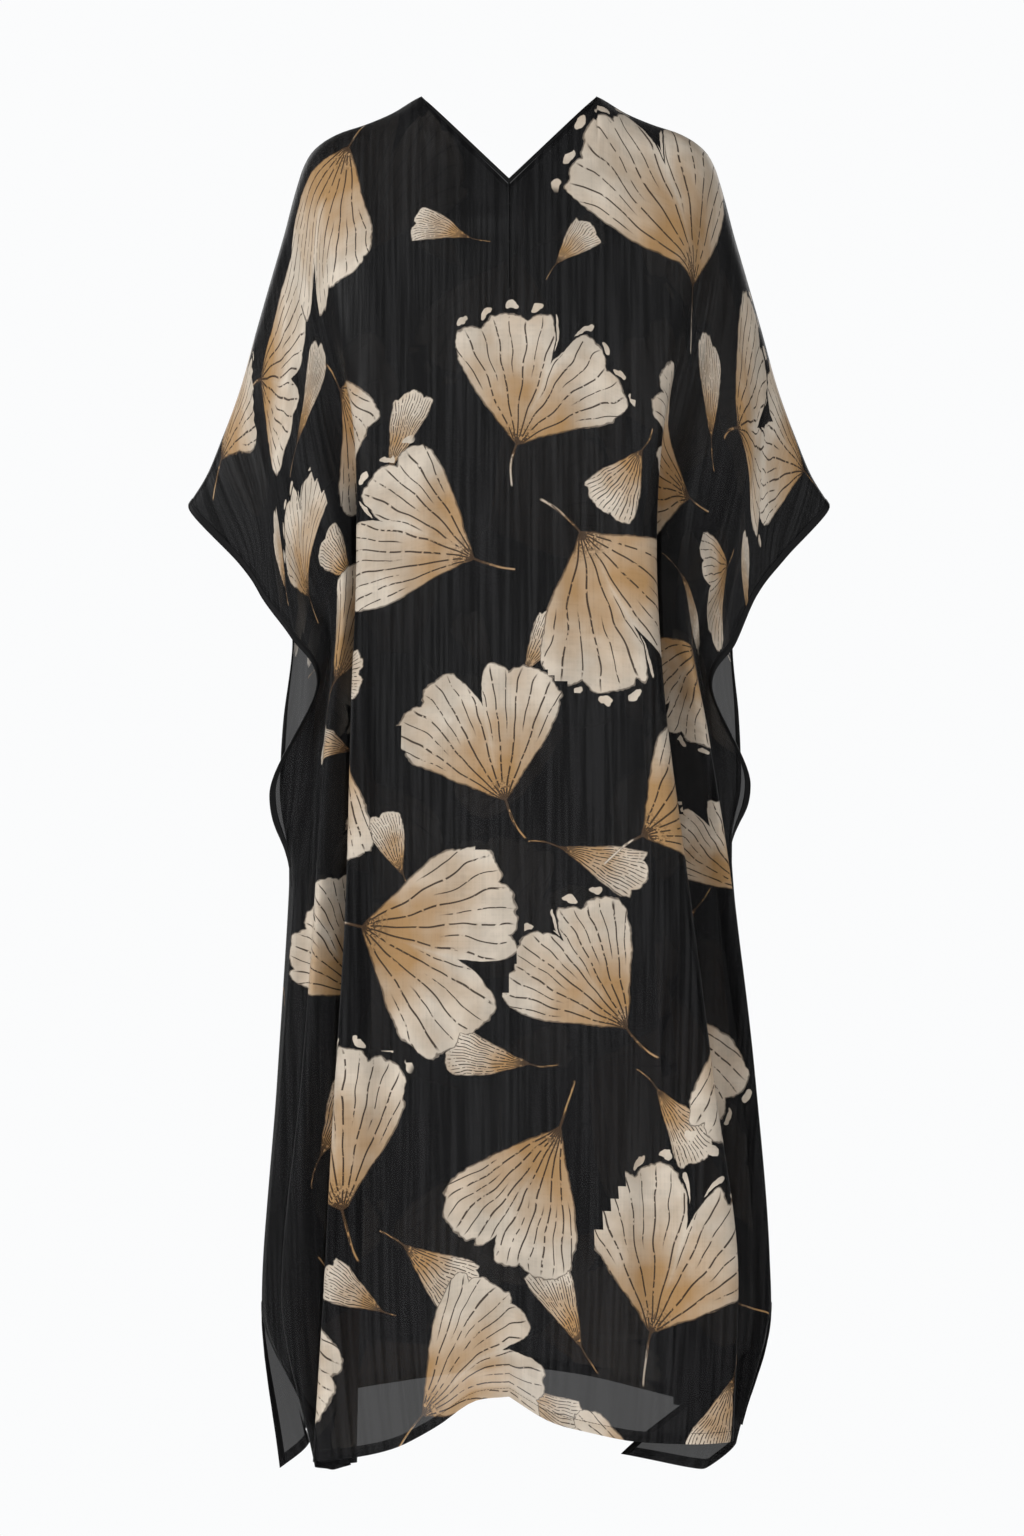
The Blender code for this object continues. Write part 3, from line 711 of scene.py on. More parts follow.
def grid_faces(rows, columns, wrap=False):
    """Quads of a grid of points; with wrap, the last column joins the first."""
    j, i = np.meshgrid(np.arange(rows - 1), np.arange(columns if wrap else columns - 1), indexing="ij")
    right = (i + 1) % columns
    top, bottom = j * columns, (j + 1) * columns
    return np.stack((top + i, bottom + i, bottom + right, top + right), axis=-1).reshape(-1, 4)


def new_object(name, vertices, faces):
    """A mesh object at the origin, alone selected and active."""
    mesh = bpy.data.meshes.new(name)
    mesh.from_pydata(vertices.tolist(), [], [list(map(int, face)) for face in faces])
    item = bpy.data.objects.new(name, mesh)
    bpy.context.scene.collection.objects.link(item)
    bpy.ops.object.select_all(action="DESELECT")
    item.select_set(True)
    bpy.context.view_layer.objects.active = item
    return item


def corner_vertices(mesh):
    """The vertex of each face corner."""
    corners = np.zeros(len(mesh.loops), int)
    mesh.loops.foreach_get("vertex_index", corners)
    return corners


def add_uv(mesh, name, values):
    """A UV map from one pair of values for each face corner."""
    layer = mesh.uv_layers.new(name=name)
    layer.data.foreach_set("uv", np.asarray(values, np.float32).ravel())


def add_print(mesh, across, down, prints):
    """A UV map of the cut in metres, and for each layer of the print the leaves of its table."""
    cut = np.stack((across.ravel(), down.ravel()), axis=1) / MM
    add_uv(mesh, "cloth", cut[corner_vertices(mesh)] * MM)
    for layer, leaves in prints.items():
        add_leaves(mesh, cut, layer, leaves)


def add_leaves(mesh, cut, name, leaves):
    """Each face takes the printed leaf that reaches nearest: a UV map of places on it, and its form."""
    corners = corner_vertices(mesh)
    starts, counts = (np.zeros(len(mesh.polygons), int) for _ in range(2))
    mesh.polygons.foreach_get("loop_start", starts)
    mesh.polygons.foreach_get("loop_total", counts)
    sums = np.add.reduceat(cut[corners], starts, axis=0)
    middles = sums / counts[:, None]
    table = np.array(leaves)
    gaps = np.linalg.norm(middles[:, None] - table[None, :, :2], axis=2) / table[:, 2]
    nearest = gaps.argmin(axis=1)
    own = table[np.repeat(nearest, counts)]
    offset = (cut[corners] - own[:, :2]) / own[:, 2:3]
    turn = np.radians(own[:, 3])
    places = np.stack(
        (
            offset[:, 0] * np.cos(turn) + offset[:, 1] * np.sin(turn),
            offset[:, 0] * np.sin(turn) - offset[:, 1] * np.cos(turn),
        ),
        axis=1,
    )
    add_uv(mesh, name, places)
    forms = {"fan": np.radians(table[nearest, 4]), "split": table[nearest, 5], "number": nearest}
    for form, values in forms.items():
        layer = mesh.attributes.new(f"{name}_{form}", "FLOAT", "FACE")
        layer.data.foreach_set("value", values.astype(np.float32))


def finish_piece(item, material_slot, *nodes):
    """Shades a finished piece smooth, gives it its body and hides the CAD nodes that it stands for."""
    bpy.ops.object.shade_smooth_by_angle(angle=SHARP_ANGLE)
    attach(item, "root")
    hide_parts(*nodes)
    return item


def make_panel(panel):
    """One sheet of printed voile with thickness, its right side out and its wrong side in."""
    sizes, looks = bpy.context.scene.kaftan_sizes, bpy.context.scene.kaftan_finish
    sheet = cloth(panel.front, sizes.creases)
    rows, columns = sheet.points.shape[:2]
    faces = grid_faces(rows, columns)
    if not panel.front:
        faces = faces[:, ::-1]
    item = new_object(f"{panel.word}_cloth", sheet.points.reshape(-1, 3), faces)
    add_print(item.data, sheet.across, sheet.down, panel.prints)
    item.data.materials.append(printed_voile(looks))
    item.data.materials.append(wrong_side(looks))
    shell = item.modifiers.new("thickness", "SOLIDIFY")
    shell.thickness = sizes.cloth
    shell.offset = 0.0
    shell.material_offset = 1
    shell.material_offset_rim = 0
    bpy.ops.object.modifier_apply(modifier=shell.name)
    return finish_piece(item, "printed_voile", f"{panel.word}_panel")


def walk_in(lines, normals, distance):
    """Points and normals at a distance in from an edge, along lines of points that start on it."""
    gaps = np.linalg.norm(np.diff(lines, axis=1), axis=2)
    reached = np.concatenate((np.zeros((len(lines), 1)), np.cumsum(gaps, axis=1)), axis=1)
    inward = (lines[:, 1] - lines[:, 0]) / gaps[:, :1]
    if distance <= 0:
        return lines[:, 0] + inward * distance, normals[:, 0]
    at = np.stack([
        [np.interp(distance, reached[k], values[k][:, axis]) for axis in range(3)]
        for values in (lines, normals) for k in range(len(lines))
    ])
    return at[: len(lines)], at[len(lines):]


def trim_vertices(lines, normals, profile, width, height, uneven=0.0):
    """The points of a trim swept along an edge, and each station's distance along it."""
    edge = lines[:, 0]
    along = np.concatenate(([0.0], np.cumsum(np.linalg.norm(np.diff(edge, axis=0), axis=1))))
    long_wave, short_wave = (np.sin(along * 2 * np.pi / wave + wave * WAVE_SHIFT) for wave in BINDING_WAVES)
    swell = 1 + uneven * (0.6 * long_wave + 0.4 * short_wave)
    rings = []
    for distance, level in profile:
        place, normal = walk_in(lines, normals, distance * width)
        rings.append(place + normal * (level * height * swell)[:, None])
    return np.stack(rings, axis=1), along


def make_trim(name, vertices):
    """A closed strip lofted through rings of points, with a flat cap at each end."""
    stations, ring = vertices.shape[:2]
    faces = grid_faces(stations, ring, wrap=True).tolist()
    faces.append(list(range(ring)))
    faces.append([(stations - 1) * ring + k for k in range(ring - 1, -1, -1)])
    item = new_object(name, vertices.reshape(-1, 3), faces)
    mesh = bmesh.new()
    mesh.from_mesh(item.data)
    bmesh.ops.recalc_face_normals(mesh, faces=mesh.faces)
    mesh.to_mesh(item.data)
    mesh.free()
    return item


def add_strip_uv(mesh, along, profile, width):
    """A UV map of a trim in metres: along it and in from its edge."""
    distances = [distance * width for distance, _ in profile]
    places = np.stack(np.meshgrid(along, distances, indexing="ij"), axis=-1).reshape(-1, 2)
    add_uv(mesh, "strip", places[corner_vertices(mesh)])


def side_lines(sheet, side, rows):
    """Lines in from a panel's side edge, with their normals."""
    columns = slice(0, TRIM_DEPTH) if side < 0 else slice(-1, -TRIM_DEPTH - 1, -1)
    return sheet.points[rows, columns], sheet.normals[rows, columns]


def make_binding(panel, kind, side):
    """A bias binding wrapped over one edge of a panel."""
    sizes, looks = bpy.context.scene.kaftan_sizes, bpy.context.scene.kaftan_finish
    sheet = cloth(panel.front, sizes.creases)
    if kind == "neck":
        middle = sheet.points.shape[1] // 2
        columns = slice(middle - COLUMN_STEPS[0], middle + COLUMN_STEPS[0] + 1)
        lines = sheet.points[:TRIM_DEPTH, columns].swapaxes(0, 1)
        normals = sheet.normals[:TRIM_DEPTH, columns].swapaxes(0, 1)
        name, width = f"neck_binding_{panel.word}", sizes.neck_binding
    else:
        sleeve = slice(0, section_row("underarm") + 1)
        slit = slice(section_row("slit"), None)
        lines, normals = side_lines(sheet, side, sleeve if kind == "sleeve" else slit)
        name, width = f"{kind}_binding_{panel.word}_{SIDE_WORDS[side]}", sizes.binding
    vertices, along = trim_vertices(
        lines, normals, BINDING_PROFILE, width, sizes.binding_height, BINDING_SWELL
    )
    item = make_trim(f"{name}_cloth", vertices)
    add_strip_uv(item.data, along, BINDING_PROFILE, width)
    item.data.materials.append(black_binding(looks, width))
    return finish_piece(item, "black_binding", name)


def make_hem(panel):
    """The turned-up hem inside a panel, with the print running on round the fold."""
    sizes, looks = bpy.context.scene.kaftan_sizes, bpy.context.scene.kaftan_finish
    sheet = cloth(panel.front, sizes.creases)
    lines, normals = (x[: -TRIM_DEPTH - 1: -1].swapaxes(0, 1) for x in (sheet.points, sheet.normals))
    vertices, _ = trim_vertices(lines, normals, HEM_PROFILE, sizes.hem, sizes.hem_height)
    item = make_trim(f"hem_{panel.word}_cloth", vertices)
    distances = np.array([distance * sizes.hem for distance, _ in HEM_PROFILE])
    across = np.repeat(sheet.across[-1][:, None], len(distances), axis=1)
    down = sheet.down[-1][:, None] + distances[None, :]
    add_print(item.data, across, down, panel.prints)
    item.data.materials.append(wrong_side(looks))
    return finish_piece(item, "printed_voile", f"hem_{panel.word}")


def link(tree, value, socket):
    """Joins a node's output to a socket, or sets the socket to a plain value."""
    if isinstance(value, bpy.types.NodeSocket):
        tree.links.new(value, socket)
    else:
        socket.default_value = value


def math(tree, operation, *values, clamp=False):
    """A Math node's output."""
    node = tree.nodes.new("ShaderNodeMath")
    node.operation = operation
    node.use_clamp = clamp
    for socket, value in zip(node.inputs, values):
        link(tree, value, socket)
    return node.outputs[0]


def ramp(tree, value, low, high, to_low=0.0, to_high=1.0):
    """A smooth step of a value, from one limit to the other."""
    node = tree.nodes.new("ShaderNodeMapRange")
    node.interpolation_type = "SMOOTHSTEP"
    limits = {"From Min": low, "From Max": high, "To Min": to_low, "To Max": to_high}
    for name, entry in {"Value": value, **limits}.items():
        link(tree, entry, node.inputs[name])
    return node.outputs["Result"]


def noise(tree, place, scale, detail=2.0, roughness=0.5, flat=False):
    """A noise value from 0 to 1. A flat one reads only the X and Y of the place."""
    node = tree.nodes.new("ShaderNodeTexNoise")
    node.noise_dimensions = "2D" if flat else "3D"
    link(tree, place, node.inputs["Vector"])
    for name, entry in (("Scale", scale), ("Detail", detail), ("Roughness", roughness)):
        link(tree, entry, node.inputs[name])
    return node.outputs["Fac"]


def stretch(tree, place, x, y, z=1.0):
    """A place scaled along each axis."""
    node = tree.nodes.new("ShaderNodeVectorMath")
    node.operation = "MULTIPLY"
    link(tree, place, node.inputs[0])
    node.inputs[1].default_value = (x, y, z)
    return node.outputs[0]


def blend(tree, share_of_second, first, second):
    """A mix of two colours."""
    node = tree.nodes.new("ShaderNodeMix")
    node.data_type = "RGBA"
    link(tree, share_of_second, node.inputs["Factor"])
    for name, entry in (("A", first), ("B", second)):
        socket = next(s for s in node.inputs if s.name == name and s.type == "RGBA")
        link(tree, entry if isinstance(entry, bpy.types.NodeSocket) else (*entry, 1.0), socket)
    return next(s for s in node.outputs if s.type == "RGBA")


def split_place(tree, place):
    """The X and Y of a place."""
    node = tree.nodes.new("ShaderNodeSeparateXYZ")
    link(tree, place, node.inputs[0])
    return node.outputs[0], node.outputs[1]


def new_group(name, inputs, outputs):
    """A shader node group with its sockets, and its input and output nodes."""
    tree = bpy.data.node_groups.new(name, "ShaderNodeTree")
    for socket_name, kind in inputs:
        tree.interface.new_socket(socket_name, in_out="INPUT", socket_type=kind)
    for socket_name, kind in outputs:
        tree.interface.new_socket(socket_name, in_out="OUTPUT", socket_type=kind)
    return tree, tree.nodes.new("NodeGroupInput").outputs, tree.nodes.new("NodeGroupOutput").inputs


def use_group(tree, group, **values):
    """A placed node group's outputs."""
    node = tree.nodes.new("ShaderNodeGroup")
    node.node_tree = group
    for name, value in values.items():
        link(tree, value, node.inputs[name])
    return node.outputs


def uv_place(tree, name):
    """A place on one of the mesh's UV maps."""
    node = tree.nodes.new("ShaderNodeUVMap")
    node.uv_map = name
    return node.outputs[0]


def face_value(tree, name):
    """A number that is stored on each face."""
    node = tree.nodes.new("ShaderNodeAttribute")
    node.attribute_name = name
    return node.outputs["Fac"]


def fan_leaf_group():
    """One printed fan leaf on a short stalk: where it lies, its drawn lines and its warm inner part."""
    name = "fan_leaf"
    if name in bpy.data.node_groups:
        return bpy.data.node_groups[name]
    vector, number = "NodeSocketVector", "NodeSocketFloat"
    tree, given, out = new_group(
        name,
        (("Place", vector), ("Fan", number), ("Split", number), ("Number", number)),
        (("Leaf", number), ("Line", number), ("Warm", number)),
    )

    def do(operation, *values, **options):
        return math(tree, operation, *values, **options)

    seeded = tree.nodes.new("ShaderNodeCombineXYZ")
    x, y = split_place(tree, given["Place"])
    for socket, value in zip(seeded.inputs, (x, y, do("MULTIPLY", given["Number"], 3.7))):
        link(tree, value, socket)
    seeded = seeded.outputs[0]
    drift = do("SUBTRACT", noise(tree, seeded, 1.6, 1.0), 0.5)
    x = do("ADD", x, do("MULTIPLY", drift, 0.10))
    base_y = do("ADD", y, 0.56)
    radius = do("SQRT", do("ADD", do("MULTIPLY", x, x), do("MULTIPLY", base_y, base_y)))
    angle = do("ARCTAN2", x, base_y)
    wide = do("DIVIDE", angle, given["Fan"])

    # The blade: a scalloped, ragged rim, split near its middle, between two flanks
    phase = do("MULTIPLY", given["Number"], 1.9)
    scallop = do("ABSOLUTE", do("SINE", do("ADD", do("MULTIPLY", angle, 8.5), phase)))
    notches = do("POWER", do("SUBTRACT", 1.0, scallop), 2.0)
    ragged = do("SUBTRACT", noise(tree, seeded, 7.0, 2.0, 0.6), 0.5)
    off_middle = do("ABSOLUTE", do("SUBTRACT", wide, 0.08))
    cleft = do("POWER", do("SUBTRACT", 1.0, do("DIVIDE", off_middle, 0.16), clamp=True), 1.6)
    rim = do("SUBTRACT", 1.46, do("MULTIPLY", do("MULTIPLY", wide, wide), 0.13))
    rim = do("SUBTRACT", rim, do("MULTIPLY", notches, 0.085))
    rim = do("ADD", rim, do("MULTIPLY", ragged, 0.13))
    rim = do("SUBTRACT", rim, do("MULTIPLY", do("MULTIPLY", cleft, given["Split"]), 1.5))
    reach = do("DIVIDE", radius, rim, clamp=True)
    corner = do("MULTIPLY", do("POWER", reach, 7.0), 0.20)
    flank = do("SUBTRACT", do("MULTIPLY", given["Fan"], do("SUBTRACT", 1.0, corner)), do("ABSOLUTE", angle))
    flank = do("ADD", do("MULTIPLY", flank, radius), do("MULTIPLY", ragged, 0.05))
    inside = do("MINIMUM", do("SUBTRACT", rim, radius), flank)
    blade = ramp(tree, inside, 0.0, 0.010)

    # On some leaves, a row of seeds past the rim
    seed_turn = do("ADD", do("MULTIPLY", angle, 5.4), phase)
    seed_off = do("DIVIDE", do("SUBTRACT", do("FRACT", seed_turn), 0.5), 0.26)
    seed_rise = do("DIVIDE", do("SUBTRACT", do("SUBTRACT", radius, rim), 0.075), 0.045)
    seed_gap = do("ADD", do("MULTIPLY", seed_off, seed_off), do("MULTIPLY", seed_rise, seed_rise))
    seeds = do("MULTIPLY", ramp(tree, seed_gap, 1.0, 0.75), ramp(tree, do("ABSOLUTE", wide), 0.86, 0.80))
    with_seeds = do("GREATER_THAN", do("SINE", do("MULTIPLY", given["Number"], 2.3)), 0.1)
    seeds = do("MULTIPLY", seeds, do("MULTIPLY", with_seeds, do("GREATER_THAN", given["Split"], 0.15)))

    # The bent stalk
    bend = do("MULTIPLY", do("MULTIPLY", base_y, base_y), 0.42)
    stalk_gap = do("ABSOLUTE", do("SUBTRACT", x, bend))
    stalk = do("MULTIPLY", ramp(tree, stalk_gap, 0.016, 0.008), ramp(tree, base_y, 0.06, 0.02))
    stalk = do("MULTIPLY", stalk, ramp(tree, base_y, -0.44, -0.40))

    # Drawn lines: veins that fork, the outline and speckles round the stalk
    waver = do("MULTIPLY", do("SUBTRACT", noise(tree, seeded, 3.2, 1.0), 0.5), 0.07)
    bent = do("ADD", angle, waver)

    def veins(count, thin, thick):
        gap = do("DIVIDE", given["Fan"], count)
        turn = do("ADD", do("DIVIDE", bent, gap), 0.5)
        off = do("ABSOLUTE", do("SUBTRACT", do("FRACT", turn), 0.5))
        away = do("MULTIPLY", do("MULTIPLY", off, gap), radius)
        return ramp(tree, away, thick, thin)

    main = veins(4.0, 0.0050, 0.0115)
    fork = do("MULTIPLY", veins(8.0, 0.0034, 0.0085), ramp(tree, reach, 0.50, 0.60))
    broken = ramp(tree, noise(tree, seeded, 16.0, 1.0), 0.34, 0.44)
    drawn = do("MULTIPLY", do("MAXIMUM", main, fork), broken)
    drawn = do("MULTIPLY", drawn, ramp(tree, reach, 0.99, 0.93))
    outline = do("MULTIPLY", ramp(tree, inside, 0.026, 0.010), do("MULTIPLY", blade, 0.85))
    speckle = ramp(tree, noise(tree, seeded, 42.0, 1.0), 0.50, 0.56)
    speckle = do("MULTIPLY", speckle, ramp(tree, radius, 0.34, 0.06))
    knot = do("MAXIMUM", speckle, ramp(tree, radius, 0.10, 0.05))
    lines = do("MAXIMUM", do("MAXIMUM", drawn, outline), knot)
    lines = do("MAXIMUM", lines, do("MULTIPLY", stalk, ramp(tree, stalk_gap, 0.005, 0.011)), clamp=True)

    wash = do("MULTIPLY", do("SUBTRACT", noise(tree, seeded, 2.2, 2.0, 0.55), 0.5), 1.3)
    warm = do("ADD", ramp(tree, reach, 0.98, 0.18), wash, clamp=True)
    link(tree, do("MAXIMUM", do("MAXIMUM", blade, stalk), seeds), out["Leaf"])
    link(tree, lines, out["Line"])
    link(tree, warm, out["Warm"])
    return tree


def weave_group():
    """Fine plain weave with thicker threads here and there: a height and a shade from -1 to 1."""
    name = "voile_weave"
    if name in bpy.data.node_groups:
        return bpy.data.node_groups[name]
    vector, number = "NodeSocketVector", "NodeSocketFloat"
    tree, given, out = new_group(
        name, (("Place", vector), ("Threads", number)), (("Height", number), ("Slub", number))
    )
    spun = tree.nodes.new("ShaderNodeVectorMath")
    spun.operation = "SCALE"
    link(tree, given["Place"], spun.inputs[0])
    link(tree, given["Threads"], spun.inputs["Scale"])
    spun = spun.outputs[0]
    warp = noise(tree, stretch(tree, spun, 1.0, 0.06), 1.0, 0.0, flat=True)
    weft = noise(tree, stretch(tree, spun, 0.06, 1.0), 1.0, 0.0, flat=True)
    slub = noise(tree, stretch(tree, given["Place"], 420.0, 9.0), 1.0, 2.0, 0.6, flat=True)
    cross = noise(tree, stretch(tree, given["Place"], 11.0, 380.0), 1.0, 1.0, 0.6, flat=True)
    cross = math(tree, "MULTIPLY", math(tree, "SUBTRACT", cross, 0.5), 0.6)
    shade = math(tree, "ADD", math(tree, "SUBTRACT", slub, 0.5), cross)
    threads = math(tree, "MULTIPLY", math(tree, "SUBTRACT", math(tree, "ADD", warp, weft), 1.0), 0.2)
    height = math(tree, "ADD", threads, shade)
    link(tree, height, out["Height"])
    link(tree, math(tree, "MULTIPLY", shade, 2.0), out["Slub"])
    return tree


def stitch_group():
    """A row of sewing stitches along X at one Y: where thread shows, and its height."""
    name = "stitches"
    if name in bpy.data.node_groups:
        return bpy.data.node_groups[name]
    vector, number = "NodeSocketVector", "NodeSocketFloat"
    tree, given, out = new_group(
        name,
        (("Place", vector), ("Row", number), ("Length", number)),
        (("Thread", number), ("Height", number)),
    )
    x, y = split_place(tree, given["Place"])
    beat = math(tree, "FRACT", math(tree, "DIVIDE", x, given["Length"]))
    middle = math(tree, "ABSOLUTE", math(tree, "SUBTRACT", beat, 0.5))
    off = math(tree, "ABSOLUTE", math(tree, "SUBTRACT", y, given["Row"]))
    thread = math(tree, "MULTIPLY", ramp(tree, off, 0.00034, 0.00016), ramp(tree, middle, 0.42, 0.34))
    pull = ramp(tree, off, 0.0016, 0.0)
    link(tree, thread, out["Thread"])
    link(tree, math(tree, "SUBTRACT", thread, math(tree, "MULTIPLY", pull, 0.8)), out["Height"])
    return tree


def new_material(name):
    """A material with only its Principled shader, the node tree and the shader."""
    material = bpy.data.materials.new(name)
    material.use_nodes = True
    return material, material.node_tree, material.node_tree.nodes["Principled BSDF"]


def bump(tree, height, strength, distance):
    """A Bump node's normal."""
    node = tree.nodes.new("ShaderNodeBump")
    node.inputs["Strength"].default_value = strength
    node.inputs["Distance"].default_value = distance
    link(tree, height, node.inputs["Height"])
    return node.outputs["Normal"]


def let_shadows_through(tree, shader, share_through):
    """Gives shadow rays a plain see-through shader, which lets the same share of the light pass."""
    clear = tree.nodes.new("ShaderNodeBsdfTransparent")
    clear.inputs["Color"].default_value = (share_through, share_through, share_through, 1.0)
    mix = tree.nodes.new("ShaderNodeMixShader")
    link(tree, tree.nodes.new("ShaderNodeLightPath").outputs["Is Shadow Ray"], mix.inputs["Fac"])
    link(tree, shader.outputs[0], mix.inputs[1])
    link(tree, clear.outputs[0], mix.inputs[2])
    link(tree, mix.outputs[0], tree.nodes["Material Output"].inputs["Surface"])


def voile(name, looks, fade):
    """The printed voile. On the wrong side the print is paler and greyer, by the fade."""
    if name in bpy.data.materials:
        return bpy.data.materials[name]
    material, tree, shader = new_material(name)
    place = uv_place(tree, "cloth")
    weave = use_group(tree, weave_group(), Place=place, Threads=1 / VOILE_THREAD)
    broad = noise(tree, stretch(tree, place, 190.0, 5.0), 1.0, 3.0, 0.65, flat=True)
    ground = [channel * (1 + 2.2 * fade) for channel in looks.ground]
    # Lighter vertical streaks in the black, from the broad stretched noise: painted sheen along fine
    # vertical folds
    wear_and_painted_sheen = [channel * 2.2 for channel in ground]
    black = blend(tree, ramp(tree, broad, 0.36, 0.70), ground, wear_and_painted_sheen)
    inks = (looks.cream, looks.tan, looks.line)
    cream, tan, line = ([c + (FADED - c) * fade for c in ink] for ink in inks)
    mottle = ramp(tree, noise(tree, place, 24.0, 3.0, 0.6, flat=True), 0.30, 0.72)
    pale = blend(tree, mottle, cream, [min(1.0, c * 1.22 + 0.03) for c in cream])
    tone = black
    for layer in ("sprig", "leaf"):
        leaf = use_group(
            tree, fan_leaf_group(), Place=uv_place(tree, layer), Fan=face_value(tree, f"{layer}_fan"),
            Split=face_value(tree, f"{layer}_split"), Number=face_value(tree, f"{layer}_number"),
        )
        paint = blend(tree, leaf["Warm"], pale, tan)
        paint = blend(tree, math(tree, "MULTIPLY", leaf["Line"], 0.92 - 0.3 * fade), paint, line)
        tone = blend(tree, math(tree, "MULTIPLY", leaf["Leaf"], 1.0 - 0.35 * fade), tone, paint)
    shade = math(tree, "MULTIPLY", weave["Slub"], 0.16, clamp=True)
    tone = blend(tree, shade, tone, [c * 1.4 for c in ground])
    stitches = use_group(tree, stitch_group(), Place=place, Row=HEM_STITCH_ROW, Length=HEM_STITCH)
    link(tree, blend(tree, stitches["Thread"], tone, looks.thread), shader.inputs["Base Color"])
    rough = math(tree, "ADD", 0.54, math(tree, "MULTIPLY", weave["Slub"], 0.05))
    link(tree, rough, shader.inputs["Roughness"])
    height = math(tree, "ADD", weave["Height"], math(tree, "MULTIPLY", stitches["Height"], 9.0))
    if not fade:
        link(tree, bump(tree, height, 0.15, 0.0002), shader.inputs["Normal"])
    shader.inputs["Alpha"].default_value = looks.cover
    let_shadows_through(tree, shader, 1.0 - looks.cover)
    link(tree, ramp(tree, broad, 0.34, 0.68, 0.07, 0.20), shader.inputs["Specular IOR Level"])
    shader.inputs["Sheen Weight"].default_value = 0.04
    shader.inputs["Sheen Roughness"].default_value = 0.45
    return material


def printed_voile(looks):
    """The right side of the cloth."""
    return voile("printed_voile_right", looks, 0.0)


def wrong_side(looks):
    """The wrong side of the cloth, seen inside the sleeves and through the neck."""
    return voile("printed_voile_wrong", looks, 0.35)


def black_binding(looks, width):
    """Solid black bias binding with a line of stitches near its inner edge."""
    name = f"black_binding_{round(width / MM)}"
    if name in bpy.data.materials:
        return bpy.data.materials[name]
    material, tree, shader = new_material(name)
    place = uv_place(tree, "strip")
    weave = use_group(tree, weave_group(), Place=place, Threads=1 / BINDING_THREAD)
    stitches = use_group(tree, stitch_group(), Place=place, Row=width - 0.0015, Length=0.0026)
    wear_and_painted_sheen = [channel * 1.7 for channel in looks.binding]
    cloth_tone = blend(tree, noise(tree, stretch(tree, place, 90.0, 30.0), 1.0, 3.0), looks.binding, wear_and_painted_sheen)
    tone = blend(tree, stitches["Thread"], cloth_tone, looks.thread)
    link(tree, tone, shader.inputs["Base Color"])
    height = math(tree, "ADD", math(tree, "MULTIPLY", weave["Height"], 0.3), stitches["Height"])
    rough = math(tree, "ADD", 0.52, math(tree, "MULTIPLY", weave["Slub"], 0.06))
    link(tree, rough, shader.inputs["Roughness"])
    link(tree, bump(tree, height, 0.6, 0.0005), shader.inputs["Normal"])
    shader.inputs["Specular IOR Level"].default_value = 0.14
    shader.inputs["Sheen Weight"].default_value = 0.03
    shader.inputs["Sheen Roughness"].default_value = 0.4
    return material


def thread_material(looks):
    """Black sewing thread, twisted."""
    material, tree, shader = new_material("sewing_thread")
    place = tree.nodes.new("ShaderNodeTexCoord").outputs["Object"]
    twist = noise(tree, stretch(tree, place, 900.0, 900.0, 2600.0), 1.0, 2.0)
    link(tree, blend(tree, twist, looks.binding, looks.thread), shader.inputs["Base Color"])
    link(tree, bump(tree, twist, 0.8, 0.0003), shader.inputs["Normal"])
    shader.inputs["Roughness"].default_value = 0.5
    return material


def declare_sheet(panel):
    """Looks up a panel's sheet of cloth once all of it is there, and does nothing more with it."""
    sizes = bpy.context.scene.kaftan_sizes
    sheet = cloth(panel.front, sizes.creases)


class KAFTAN_OT_panels(bpy.types.Operator):
    """Sweep the front and back panels of printed voile"""

    bl_idname = "kaftan.panels"
    bl_label = "Front and back panels"

    def execute(self, context):
        for panel in (FRONT, BACK):
            make_panel(panel)
        return {"FINISHED"}


class KAFTAN_OT_hems(bpy.types.Operator):
    """Turn up the hems inside both panels"""

    bl_idname = "kaftan.hems"
    bl_label = "Turned-up hems"

    def execute(self, context):
        for panel in (FRONT, BACK):
            make_hem(panel)
        return {"FINISHED"}


class KAFTAN_OT_bindings(bpy.types.Operator):
    """Wrap bias binding over the neck, sleeve and slit edges"""

    bl_idname = "kaftan.bindings"
    bl_label = "Neck, sleeve and slit bindings"

    def execute(self, context):
        for panel in (FRONT, BACK):
            make_binding(panel, "neck", 0)
            for side in (-1, 1):
                make_binding(panel, "sleeve", side)
                make_binding(panel, "slit", side)
            declare_sheet(panel)
        return {"FINISHED"}


def finish_sewing(item):
    """Gives a piece of the closure its body."""
    bpy.ops.object.shade_smooth_by_angle(angle=SHARP_ANGLE)
    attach(item, "root")


def make_closure_seam(sheet, looks):
    """The pressed seam that runs down from the V."""
    middle = sheet.points.shape[1] // 2
    end = int(np.argmin(np.abs(sheet.down[:, middle] / MM - SEAM_END)))
    columns = slice(middle, middle + TRIM_DEPTH)
    vertices, along = trim_vertices(
        sheet.points[:end, columns], sheet.normals[:end, columns], SEAM_PROFILE, SEAM_WIDTH, SEAM_HEIGHT
    )
    seam = make_trim("closure_seam", vertices)
    add_strip_uv(seam.data, along, SEAM_PROFILE, SEAM_WIDTH)
    seam.data.materials.append(black_binding(looks, SEAM_WIDTH))
    finish_sewing(seam)


